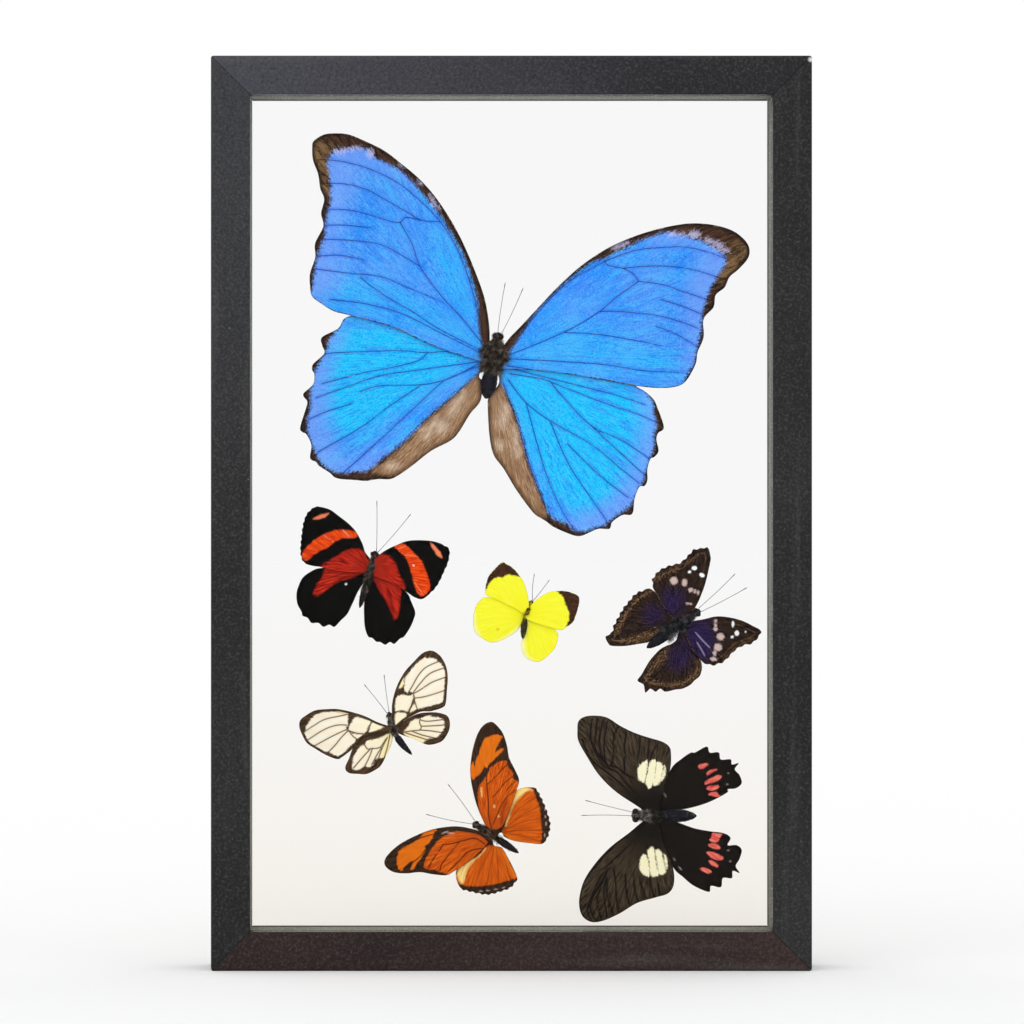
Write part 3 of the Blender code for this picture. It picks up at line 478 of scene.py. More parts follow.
class Insect:
    """One specimen: where its thorax lies in the frame, and how its body and wings lie.

    place is the thorax in the frame, head and tip the body's ends from it, radii those of head,
    thorax and abdomen, deep their depth over their width, and rise the wings' slope.
    """

    def __init__(self, name, place, head, tip, radii, deep, rise, fullest=0.7, bow=0.0):
        self.name, self.place = name, np.array(place)
        self.head, self.tip = np.array(head), np.array(tip)
        self.radii, self.deep, self.rise = radii, deep, rise
        self.fullest, self.bow = fullest, bow
        self.axis_depth = BACK_PANE_FACE - GLUE - deep * radii[1]
        self.length = np.hypot(*(self.tip - self.head))
        self.along = (self.tip - self.head) / self.length
        self.across = np.array((self.along[1], -self.along[0]))
        self.tailward = np.array((self.along[0], 0.0, self.along[1]))
        self.side = np.array((self.across[0], 0.0, self.across[1]))

    def seen(self, spots, view):
        """Places read off a view of the photograph, y down, as (x, z) in mm from the thorax."""
        corner, zoom = view
        flat = (spots / zoom + corner - EYE_PIXEL) / PIXELS_PER_MM * (1, -1)
        return flat + EYE_AT - self.place

    def in_frame(self, flat, depth):
        x, z = flat[..., 0] + self.place[0], flat[..., 1] + self.place[1]
        return np.stack((x, depth, z), axis=-1)

    def wing(self, which, places, lobes, finish, marks, veins, across, rim, vein_radius):
        """A membrane over a fan grid, and its veins.

        Ring t of the fan is m + t (rim - m). Its depth rises from the body by self.rise a
        millimetre, plus CAMBER (1 - t^2), slow waves, and between the veins a swelling of
        SWELL (1 - exp(-(d / SWELL_REACH)^2)), d being the distance to the nearest. Front and
        back are half a MEMBRANE apart from it, and meet at the rim.
        """
        edge = smooth_ring(places, rim)
        for lobe in lobes:
            edge = scalloped(edge, places, *lobe)
        veins = [line[inside(line, [edge]) > VEIN_FROM_RIM] for line in veins]
        veins = [line for line in veins if len(line) > 3]
        span = np.hypot(*places.T).max()
        middle = places.mean(0)
        spoke = edge - middle
        bearing = np.arctan2(spoke[:, 1], spoke[:, 0])
        order = np.argsort(bearing)
        forward = FOREWING_FORWARD if "forewing" in which else -HINDWING_BACK
        out = middle / np.hypot(*middle)

        def depth(flat):
            from_middle = flat - middle
            reach = np.interp(
                np.arctan2(from_middle[:, 1], from_middle[:, 0]),
                bearing[order], np.hypot(*spoke.T)[order], period=2 * np.pi,
            )
            t = np.minimum(np.hypot(*from_middle.T) / reach, 1.0)
            off_axis = np.abs((flat - self.head) @ self.across)
            wave = WAVE * np.sin(0.23 * flat[:, 0] + 1.7) * np.sin(0.19 * flat[:, 1] + 0.6)
            swell = SWELL * (1 - np.exp(-((off_lines(flat, veins) / SWELL_REACH) ** 2)))
            lift = self.rise * off_axis + CAMBER * (1 - t * t) + wave + swell
            return self.axis_depth - forward - lift

        front = np.linspace(0, 1, across + 1)[1:] ** 0.8
        behind = np.linspace(1, 0, max(across // 4, 4) + 1)[1:-1]
        t = np.concatenate((front, behind))
        flat = middle + t[:, None, None] * spoke
        half = np.concatenate((np.full(across, -0.5), np.full(len(behind), 0.5))) * MEMBRANE
        half[across - 1] = 0.0
        level = depth(flat.reshape(-1, 2)).reshape(flat.shape[:2]) + half[:, None]
        skins = [closed_skin(self.in_frame(flat, level))]
        for line in veins:
            thin = vein_radius * np.linspace(1.25, 0.75, len(line))
            skins.append(tube(self.in_frame(line, depth(line)), thin, 5))
        skin = joined(skins)
        spots = skin[0][:, [0, 2]] - self.place
        swing = np.arctan2(spots @ (-out[1], out[0]), spots @ out)
        reach = np.hypot(*spots.T)
        nought = np.zeros(len(spots))
        fields = {
            "rim": to_edges(spots, edge, np.roll(edge, -1, axis=0)),
            "vein": off_lines(spots, veins),
            "under": (skin[0][:, 1] > depth(spots)).astype(float),
            "grain": np.column_stack((swing * span * 0.25, reach * 0.05, nought)),
            "reach": reach,
            "fore": np.full(len(spots), float("forewing" in which)),
        }
        fields.update({mark: inside(spots, shapes) for mark, shapes in marks.items()})
        node, slot = f"{self.name}_{which}", self.name + "_wings"
        piece(f"{which}_of_{self.name}", skin, finish, node, fields)

    def dress(self, wings, finish, marks, across=26, rim=220, vein_radius=0.09, view=((0, 0), 1)):
        """All four wings. Outlines are in mm from the thorax, marks and veins as view shows them.

        view is the corner and the zoom of the part of the photograph that they were read off. A
        lobe is two places of the outline, and the number and the depth of scallops between them.
        """
        for which, facts in wings.items():
            shapes = {
                mark: [
                    smooth_ring(self.seen(shape, view), 5 * len(shape))
                    for shape in several(facts.get(mark, ()))
                ]
                for mark in marks
            }
            veins = [
                smooth_line(self.seen(line, view), 5 * len(line))
                for line in several(facts["veins"])
            ]
            outline, lobes = read_places(facts["outline"]), facts.get("lobes", ())
            self.wing(which, outline, lobes, finish, shapes, veins, across, rim, vein_radius)

    def spine(self, share):
        """Places along the body's middle line, bowed sideways by bow sin(pi share)."""
        share = np.asarray(share)[:, None]
        bend = self.bow * np.sin(np.pi * share) * self.across
        return self.head + share * self.length * self.along + bend

    def girth(self, share):
        """The body's radius along its length, through head, thorax and abdomen, eased."""
        head, thorax, abdomen = self.radii
        stops = [(s, h * head + t * thorax) for s, h, t in HEAD_AND_THORAX]
        for s, r in ((0.3, 0.62), (0.65, 0.9), (1.0, 1.0)):
            stops.append((WAIST + s * (self.fullest - WAIST), r * abdomen))
        for s, r in ((0.45, 0.84), (0.8, 0.5), (0.95, 0.22), (1.0, 0.0)):
            stops.append((self.fullest + s * (1 - self.fullest), r * abdomen))
        stops = np.array(stops)
        wide = np.linspace(-1, 1, 9)[:, None] * EASING
        spread = np.interp(share + wide, *stops.T).mean(0)
        return np.where((share < 0.02) | (share > 0.985), np.interp(share, *stops.T), spread)

    def round_about(self, turn):
        """Steps outwards from the middle line at each turn of the girth."""
        return np.cos(turn)[:, None] * self.side + np.sin(turn)[:, None] * (0, self.deep, 0)

    def hairs(self, count, start, end, length, lean):
        """Fine hairs on the body, each a bent blade: root, middle and tip along a curve.

        A hair grows at share s of the length and turn a of the girth, outwards and by lean
        towards the tail, and its middle lies off the straight by a fifth of its length.
        """
        share = chance.uniform(start, end, count)
        turn = chance.uniform(np.pi, 2 * np.pi, count)
        turn = np.where(chance.random(count) < HAIRS_BEHIND, -turn, turn)
        radius = self.girth(share) * 0.94
        out = self.round_about(turn)
        middle_line = self.in_frame(self.spine(share), np.full(count, self.axis_depth))
        root = middle_line + out * radius[:, None]
        astray = chance.normal(0, HAIR_SPREAD, (count, 3)) * (1, 0.5, 1)
        way = out + self.tailward * lean + astray
        way /= np.linalg.norm(way, axis=1)[:, None]
        size = (length * chance.uniform(0.55, 1.15, count))[:, None]
        side = np.cross(way, chance.normal(0, 1, (count, 3)))
        width = HAIR_WIDTH * chance.uniform(0.7, 1.3, count)
        side *= (width / np.linalg.norm(side, axis=1))[:, None]
        bend = np.cross(way, side) * 4.0 * size * chance.normal(0, 1, (count, 1))
        middle = root + way * size * 0.55 + bend * 0.25
        tip = root + way * size + self.tailward * size * 0.2
        tip[:, 1] = np.minimum(tip[:, 1], BACK_PANE_FACE - 0.1)
        blade = (root - side, root + side, middle + side * 0.7, middle - side * 0.7, tip)
        at = np.arange(count)[:, None] * len(blade)
        quads, tris = at + np.array((0, 1, 2, 3)), at + np.array((3, 2, 4))
        return np.stack(blade, axis=1).reshape(-1, 3), quads, tris

    def trunk(self):
        """Head, thorax and abdomen as one skin: grooves ring the abdomen, the rest is rough."""
        eased = np.sin(np.linspace(0, np.pi / 2, FRONT_ROWS)) * 0.5 * 0.9
        share = np.sin(np.linspace(0, np.pi / 2, REAR_ROWS + 1)[1:])
        share = np.concatenate((eased, WAIST + (1 - WAIST) * share))[1:-1]
        turn = np.linspace(0, 2 * np.pi, TRUNK_AROUND, endpoint=False)
        ring_at = (share - 0.5) / 0.5 * ABDOMEN_RINGS
        ring = (0.5 - 0.5 * np.cos(2 * np.pi * ring_at)) ** 6
        groove = 1 - GROOVE_DEPTH * ring * (share > 0.5)
        bumps = chance.normal(0, 1, (len(share), TRUNK_AROUND))
        rough = 1 + THORAX_BUMPS * bumps * (share < 0.48)[:, None]
        radius = (self.girth(share) * groove)[:, None] * rough
        middle = self.in_frame(self.spine(share), np.full(len(share), self.axis_depth))
        return closed_skin(middle[:, None] + radius[..., None] * self.round_about(turn))

    def eye(self, way):
        """A ball on one side of the head: (cos u cos a, cos u sin a, sin u) times its radius."""
        head = self.radii[0]
        flat = self.spine([EYE_SHARE])[0] + way * self.across * head * EYE_OUTWARD
        centre = self.in_frame(flat, np.array(self.axis_depth - EYE_FORWARD * head))
        up = np.linspace(-np.pi / 2, np.pi / 2, 16)[1:-1, None]
        around = np.linspace(0, 2 * np.pi, 22, endpoint=False)[None]
        ball = (np.cos(up) * np.cos(around), np.cos(up) * np.sin(around), np.sin(up))
        return closed_skin(centre + np.stack(np.broadcast_arrays(*ball), -1) * head * EYE_SIZE)

    def feeler(self, start, end, bow):
        """An antenna from start to end, bowed by bow sin(pi t), with a club before its tip."""
        t = np.linspace(0, 1, 40)
        start, end = np.array(start), np.array(end)
        lie = (end - start) / np.hypot(*(end - start))
        flat = start + t[:, None] * (end - start)
        flat = flat + np.sin(np.pi * t)[:, None] * bow * np.array((lie[1], -lie[0]))
        club, root = np.exp(-(((t - 0.95) / 0.05) ** 2)), np.exp(-((t / 0.03) ** 2))
        thick = FEELER_RADIUS + CLUB_SWELL * club + CLUB_SWELL * root
        thick[-1] = FEELER_TIP
        return tube(self.in_frame(flat, self.axis_depth - FEELER_FORWARD * t), thick, 8)

    def body(self, finish, feelers, hair):
        """Head with its eyes, thorax and ringed abdomen in one, with hair and both antennae."""
        skins = [(BODY, self.trunk())]
        skins += [(EYE, self.eye(way)) for way in (-1, 1)]
        skins += [(FEELER, self.feeler(*feeler)) for feeler in feelers]
        skins += [(HAIR, self.hairs(*patch)) for patch in hair]
        skin = joined([skin for _, skin in skins])
        counts = [len(skin[0]) for _, skin in skins]
        hues = [chance.random(count // 5 + 1).repeat(5)[:count] for count in counts]
        fields = {
            "kind": np.repeat([kind for kind, _ in skins], counts),
            "share": ((skin[0][:, [0, 2]] - self.place) - self.head) @ self.along / self.length,
            "hue": np.concatenate(hues),
        }
        slot = self.name + "_body"
        piece("body_of_" + self.name, skin, finish, slot, fields)


class Scales(Finish):
    """The finish of a wing: what the rows of scales, the veins and both faces have in common."""

    def __init__(self, name, specular=0.05):
        super().__init__(name, {"Specular IOR Level": specular})
        grain = self.node("Attribute", {"attribute_name": "grain"}, {}, output=1)
        self.streak = self.noise(grain, 5.0, 4.0, 0.65)
        self.silk = self.noise(grain, 1.3, 2.0)
        self.fine = self.noise(self.place(), 1900.0, 2.0)
        self.patch = self.noise(self.place(), 75.0, 2.0)
        self.vein, self.rim, self.reach = (self.field(f) for f in ("vein", "rim", "reach"))

    def ink(self, mark, soft=0.4, fray=0.5, inset=0.0):
        """How far a mark has set in, 0 to 1 over soft millimetres, with a frayed edge."""
        depth = self.field(mark) + (self.fine + self.streak - 1.0) * fray - inset
        return (depth / soft + 0.5).clamp()

    def line(self, width, strength):
        """A line along each vein, width millimetres to each side of it."""
        return (1.5 - self.vein / width).clamp() * strength

    def coats(self, ground, *coats):
        """Coats of colour over a ground, one after the other, each as (how far, colour)."""
        for factor, colour in coats:
            ground = self.mix(factor, ground, colour)
        return ground

    def both_faces(self, upper, below, roughness, relief=0.35):
        """The upper side's colour, and the lower side's where the attribute under says so."""
        under = ((self.field("under") - 0.03) * 14.0).clamp()
        self.set("Base Color", self.mix(under, upper, below))
        self.set("Roughness", roughness + self.fine * 0.14)
        self.bump(self.streak * 0.7 + self.fine * 0.5, relief, 0.12)


def chitin(name, thorax, abdomen, hair, belt=None, saddle=None):
    """The body's finish: thorax and abdomen in their colours, glossy eyes, dull hair."""
    finish = Finish(name, {"Specular IOR Level": 0.12})
    kind, share, hue = (finish.field(f) for f in ("kind", "share", "hue"))
    past_body, past_eye, past_feeler = ((kind * 4.0 - k).clamp() for k in (2.0, 6.0, 10.0))
    mottle = finish.noise(finish.place(), 900.0, 4.0)
    front = finish.mix((mottle - 0.42) * 4.0, thorax, hair)
    rear = finish.mix((mottle - 0.45) * 1.5, abdomen, tuple(c * 1.5 for c in abdomen))
    if belt:
        rear = finish.mix((0.5 + 0.5 * (share * 100.0).sine()).clamp() * 0.5, rear, belt)
    colour = finish.mix((share - 0.46) * 20.0, front, rear)
    colour = finish.mix(past_body, colour, (30, 24, 22))
    colour = finish.mix(past_eye, colour, (74, 72, 70))
    clump = (finish.noise(finish.place(), 620.0, 2.0, 0.7) - 0.46) * 5.0 + (hue - 0.5) * 0.8
    tuft = finish.mix(clump, tuple(c * 0.35 for c in hair), tuple(min(c * 1.6, 255) for c in hair))
    colour = finish.mix(past_feeler, colour, tuft)
    if saddle:
        over = ((share - 0.3) * 30.0).clamp() * ((0.52 - share) * 30.0).clamp()
        colour = finish.mix(over * 0.85, colour, saddle)
    finish.set("Base Color", colour)
    finish.set("Roughness", 0.62 - (past_body - past_eye) * 0.42)
    finish.bump(mottle, 0.4, 0.15)
    return finish


morpho = Insect(
    "blue_morpho", (-6.2, 203.6), (2.4, 8.6), (-2.0, -13.9), (1.6, 3.6, 2.8),
    deep=0.85, rise=0.018, fullest=0.77,
)


def morpho_scales():
    """Morpho wings: blue between dark veins, violet outwards, brown border and inner panels."""
    finish = Scales("morpho scales", 0.1)
    streak, silk, fine, patch = finish.streak, finish.silk, finish.fine, finish.patch
    blue = finish.mix((patch - 0.3) * 2.4, (40, 146, 250), (94, 170, 252))
    far_back = 1.0 - finish.field("fore") * 0.55
    blue = finish.coats(
        blue,
        (finish.ink("cyan", 7.0) * 0.95 * far_back, (2, 204, 255)),
        ((silk - 0.5) * 3.6 * far_back, (16, 202, 255)),
        ((0.48 - silk) * 3.0, (60, 124, 240)),
        ((0.5 - streak) * 3.8, (22, 106, 232)),
        ((streak - 0.54) * 3.4, (104, 196, 255)),
        ((fine - 0.55) * 3.2, (122, 194, 255)),
        ((0.46 - fine) * 3.2, (28, 106, 226)),
    )
    violet = finish.mix(fine, (92, 144, 250), (150, 184, 255))
    blue = finish.coats(
        blue,
        (finish.ink("violet", 8.0, 4.0) * 0.6, violet),
        ((1.2 - finish.vein / 0.9).clamp() * 0.34, (34, 92, 226)),
        (finish.line(0.15, 0.86), (14, 46, 136)),
    )
    brown = finish.mix((streak - 0.36) * 3.4, (30, 18, 12), (92, 62, 42))
    smoke = finish.mix((silk + streak - 0.86) * 4.0, (42, 28, 17), (138, 106, 70))
    smoke = finish.mix((fine - 0.56) * 3.0, smoke, (176, 146, 104))
    brown = finish.coats(
        brown,
        (finish.ink("olive", 3.0, 3.0) * 0.85, smoke),
        (finish.line(0.2, 0.8), (24, 14, 10)),
        ((1.7 - finish.rim / 0.8).clamp() * 0.8, (22, 15, 13)),
    )
    pale = finish.mix(streak, (168, 160, 232), (244, 240, 252))
    tan = finish.mix((streak - 0.36) * 3.0, (112, 78, 52), (200, 164, 128))
    tan = finish.mix((silk - 0.46) * 3.5, tan, (140, 102, 70))
    # Painted highlights: pale streaks of light on the silky tan panels.
    painted_highlight = finish.ink("painted_highlight", 4.4, 3.4) * (0.35 + streak)
    tan = finish.mix(painted_highlight.clamp() * 0.7, tan, (236, 216, 192))
    tan = finish.mix((1.3 - finish.rim / 1.4).clamp() * 0.8, tan, (72, 46, 28))
    brown = finish.mix(finish.ink("panel", 1.4, 1.6), brown, tan)
    is_blue = finish.ink("blue", 1.3, 2.6)
    upper = finish.mix(is_blue, brown, blue)
    # Pale lilac-white marks: frosting of scales at the apex, and painted highlight streaks along
    # the costa.
    upper = finish.mix(finish.ink("frost_and_highlight", 1.6, 3.2) * 0.62, upper, pale)
    below = finish.mix((streak - 0.3) * 2.0, (84, 64, 46), (132, 108, 82))
    sway = finish.reach * 0.46 + patch * 9.0 + silk * 3.0
    wave = sway.sine()
    below = finish.coats(
        below,
        ((wave - 0.5) * 2.0 * (0.4 + streak), (158, 140, 114)),
        ((wave * -1.0 - 0.6) * 2.4, (62, 46, 34)),
        ((1.0 - abs(finish.rim - 2.2) / 0.7).clamp() * 0.7, (164, 146, 120)),
        (finish.ink("ocellus", 0.3), (196, 164, 92)),
        (finish.ink("ocellus", 0.3, 0.4, 0.9), (24, 18, 16)),
        (finish.ink("ocellus", 0.4, 0.4, 2.3), (226, 224, 226)),
    )
    finish.both_faces(upper, below, 0.42)
    finish.set("Metallic", is_blue * 0.15 * (1.0 - finish.field("under")))
    return finish


morpho_finish = morpho_scales()
# Outlines are in millimetres from the thorax, marks and veins in pixels of the photograph.
MORPHO_WINGS = {
    "left_forewing": {
        "outline": """-1.3,-1 -0.7,7 -1.3,14 -2.7,20.7 -5.3,28 -8.3,35.3 -11.7,42.3 -15.7,49
            -20,55 -24.7,60 -30.3,64.7 -36,69 -42,72 -47.7,74.3 -52,74.7 -56,74.3 -59.3,72.3
            -60,70.3 -59.7,65.7 -58,61 -57.3,56.3 -56,52.7 -57,48 -56.3,43.7 -59,38 -59,33.3
            -60.7,28 -60.7,23.7 -60,20.3 -56.7,17.7 -52.7,15.3 -47.7,14 -33,10 -20.7,4.3
            -6.3,-0.7""",
        "blue": """334,153 347,150 360,149 370,152 375,159 384,163 394,168 403,174 412,183
            424,197 436,211 444,223 454,239 462,255 469,273 474,289 477,305 478,325 481,345
            486,372 400,358 345,336 314,316 308,300 313,288 315,273 317,261 321,247 325,237
            326,225 328,211 331,205 331,191 330,175 328,163""",
        "violet": "320,140 372,146 420,180 400,178 366,168 352,190 340,240 334,290 300,290",
        "cyan": """330,286 372,280 420,300 470,330 480,352 400,322 330,302 / 440,230 462,262
            476,320 450,300 430,250""",
        "olive": "308,146 334,144 334,160 328,200 318,196 308,165",
        # Frosting at the apex, and painted highlight streaks along the costa.
        "frost_and_highlight": (
            ellipse(341, 152, 15, 5), ellipse(370, 154, 6, 8), ellipse(401, 167, 5, 2, 40),
            ellipse(420, 183, 5, 2, 50), ellipse(434, 203, 17, 3, 54), ellipse(356, 149, 14, 3),
        ),
        "veins": """313,161 330,161 350,164 375,172 400,185 424,205 440,222 / 320,184 346,185
            368,191 386,201 404,211 422,221 440,222 / 322,210 350,211 374,217 390,222 400,223
            406,218 420,221 / 326,226 346,226 374,229 / 321,240 350,241 380,245 400,255 420,267
            / 400,223 412,245 420,267 440,295 464,321 488,352 / 318,257 340,256 366,261 /
            313,269 350,274 380,277 410,289 444,303 / 360,278 386,297 414,313 440,330 486,353 /
            330,300 350,302 374,306 404,315 440,333 486,356 / 440,222 456,247 468,278 476,305
            484,340""",
    },
    "right_forewing": {
        "outline": """2,0 5.2,5.6 9.9,10.6 15.5,16.6 22.3,23.8 29.9,30.6 38.1,36.1 45.6,39.6
            52.9,42.1 60.4,43.9 67.3,44.7 74.7,44 80.7,42 84.7,38.7 86,35.7 85.3,32.7 82.3,29.3
            79.3,26.7 77.7,23.3 74.7,20.7 74,16.7 70.7,12.7 70.7,6.7 68.7,1.7 68,-2.3 65,-7.7
            62,-9.7 56.7,-10.3 49,-9.7 37.7,-7.7 25.7,-5.7 14,-4.3 1.5,-3.6""",
        "blue": """505,362 509,353 518,340 534,316 552,296 573,277 591,264 604,259 616,253
            635,244 656,236 669,233 692,239 708,245 721,254 725,262 721,270 716,277 709,290
            705,301 701,316 700,327 698,340 695,353 693,363 685,377 678,392 640,400 560,392
            500,380""",
        "violet": """650,225 700,228 740,250 730,290 708,340 690,380 684,330 690,280 700,258
            690,246 655,242""",
        "cyan": "510,360 560,322 600,330 660,350 680,372 600,372 520,368",
        "olive": "726,250 742,244 752,256 736,272 722,284 716,276",
        # Frosting at the apex, and painted highlight streaks along the costa.
        "frost_and_highlight": (
            ellipse(694, 235, 11, 7), ellipse(716, 246, 26, 6, 28), ellipse(676, 235, 16, 4),
            ellipse(620, 246, 17, 4, -20),
        ),
        "veins": """604,262 635,251 666,248 687,248 708,253 729,261 / 604,262 608,266 622,269
            632,274 638,282 / 622,269 643,267 669,267 695,271 720,279 / 638,282 661,285 682,292
            709,301 / 638,282 614,299 599,312 565,332 507,356 / 599,312 617,312 656,316 682,323
            703,331 / 660,300 682,307 706,317 / 565,333 599,335 630,340 660,346 / 656,327
            678,336 701,350 / 507,359 565,362 604,365 643,371 692,373 / 507,366 578,377 630,385
            / 508,352 530,322 565,285 604,262""",
    },
    "left_hindwing": {
        "outline": """-47.7,13.7 -51.3,9.7 -56.7,6.7 -56.7,4 -56,1.3 -59.7,-2.3 -60,-4.3
            -59.3,-5.7 -59.7,-9 -63,-12.3 -61.7,-14.7 -62,-16.7 -64,-23.3 -63.3,-25 -62,-25.7
            -60.3,-29.3 -60.7,-33.7 -58.7,-35 -57.7,-36.3 -54,-38.7 -52.7,-40 -50.3,-40.7
            -45.7,-41 -42,-41.3 -38,-40.7 -34,-40.7 -31,-39.3 -26.7,-36.3 -20.3,-31.3 -14,-28
            -11,-25 -7.3,-19 -3.7,-14.3 -3.4,-8 -4.2,-6.7 -3.8,-5 -2.2,-4.4 -1.7,-0.3 -9,4
            -20.7,10.3 -33,15""",
        "blue": """350,312 340,326 331,338 327,350 322,360 316,370 313,382 311,396 311,408
            308,420 308,432 314,448 320,460 330,469 342,473 356,471 368,470 377,463 390,452
            406,439 424,420 440,406 456,392 470,380 477,373 480,360 470,330 400,296""",
        "violet": """318,326 344,334 332,360 328,400 330,440 350,464 380,452 390,470 330,490
            296,430 306,380""",
        "cyan": "340,330 420,332 470,350 440,384 400,410 350,440 326,400",
        # Painted highlights on the tan panel.
        "painted_highlight": (
            ellipse(431, 428, 22, 5, -50), ellipse(441, 426, 12, 10),
            ellipse(456, 404, 26, 6, -60), ellipse(392, 466, 10, 3),
        ),
        "panel": """372,472 384,462 394,454 408,441 426,422 442,408 458,394 472,380 484,370
            500,392 470,440 430,470 396,476""",
        "veins": """320,354 360,352 400,351 427,353 450,352 480,361 / 322,384 360,374 400,366
            420,360 427,353 / 316,398 350,386 380,376 420,370 478,362 / 360,392 380,386 420,385
            448,379 478,364 / 318,452 360,428 390,406 420,386 / 342,474 380,440 408,414 440,384
            452,377 480,366 / 308,420 326,412 352,404 / 384,470 420,440 452,408 474,382""",
    },
    "right_hindwing": {
        "outline": """2,-3.6 17.7,-1.7 32.7,-3 44.3,-6.3 48.3,-9.7 51,-11.3 54,-14 55.3,-16.7
            57.3,-22.3 57.2,-24.2 55.6,-25.3 55,-27.5 55.7,-31.3 54.3,-33.3 53,-34 52,-37.3
            52,-41 51,-43 49.3,-43.3 47.7,-47.3 47.3,-51.3 46.3,-52.7 43.7,-52.7 40.3,-55
            39.3,-57.3 35.7,-57.3 32.3,-58.7 29.7,-59.7 26.7,-59.3 20.7,-56.7 18,-54.7
            14.7,-52.7 12.3,-50 8,-44 4,-37.3 0.7,-32.7 -0.7,-26.7 -1.3,-17.7 -1,-13 2.1,-9.3
            2.5,-6.6""",
        "blue": """501,378 508,396 517,418 524,444 530,466 537,484 545,504 552,517 567,524
            577,531 590,529 603,525 616,515 629,506 636,493 642,482 645,471 649,460 653,447
            653,436 656,425 653,414 653,405 647,394 640,380 600,360 510,350""",
        "violet": """640,380 664,400 660,460 636,510 580,540 556,526 596,512 622,484 640,440
            640,410""",
        "cyan": "508,376 560,372 640,396 648,430 630,480 590,510 556,500 530,450",
        # Painted highlights on the tan panel.
        "painted_highlight": (ellipse(504, 416, 6, 24, 8), ellipse(498, 445, 5, 5), ellipse(516, 440, 4, 30)),
        "panel": """500,378 507,400 515,420 522,446 528,468 535,486 543,506 546,518 530,516
            480,440 484,380""",
        "veins": """508,380 526,403 550,421 590,444 622,470 645,488 / 550,421 567,462 590,497
            610,526 / 526,403 537,444 548,480 563,513 576,532 / 510,374 548,381 558,392 590,425
            622,441 655,463 / 548,381 603,403 634,413 657,423 / 508,368 567,383 611,394 645,405
            / 590,425 620,453 645,476 / 567,444 600,476 634,502 / 503,384 516,420 531,470
            546,508""",
    },
}
for which, eyes in (
    ("left_forewing", ((345, 215, 20), (350, 262, 15))),
    ("right_forewing", ((680, 285, 20), (676, 338, 15))),
    ("left_hindwing", ((350, 372, 26), (345, 430, 18), (372, 445, 15))),
    ("right_hindwing", ((618, 420, 26), (600, 480, 18), (572, 498, 15))),
):
    MORPHO_WINGS[which]["ocellus"] = [ellipse(x, y, wide, wide) for x, y, wide in eyes]
morpho_marks = ("blue", "violet", "cyan", "olive", "frost_and_highlight", "panel", "painted_highlight", "ocellus")
morpho.dress(
    MORPHO_WINGS, morpho_finish, morpho_marks, across=54, rim=460, vein_radius=0.15
)
morpho.body(
    chitin("morpho body", (24, 21, 20), (22, 23, 30), (98, 88, 78)),
    (((1.9, 7.3), (4.5, 25.0), -0.2), ((3.0, 7.3), (10.5, 23.2), 0.2)),
    (
        (1700, 0.12, 0.5, 1.6, 0.5), (3600, 0.26, 0.58, 3.2, 0.3), (700, 0.02, 0.2, 1.1, -0.2),
        (260, 0.5, 0.95, 0.5, 0.9),
    ),
)

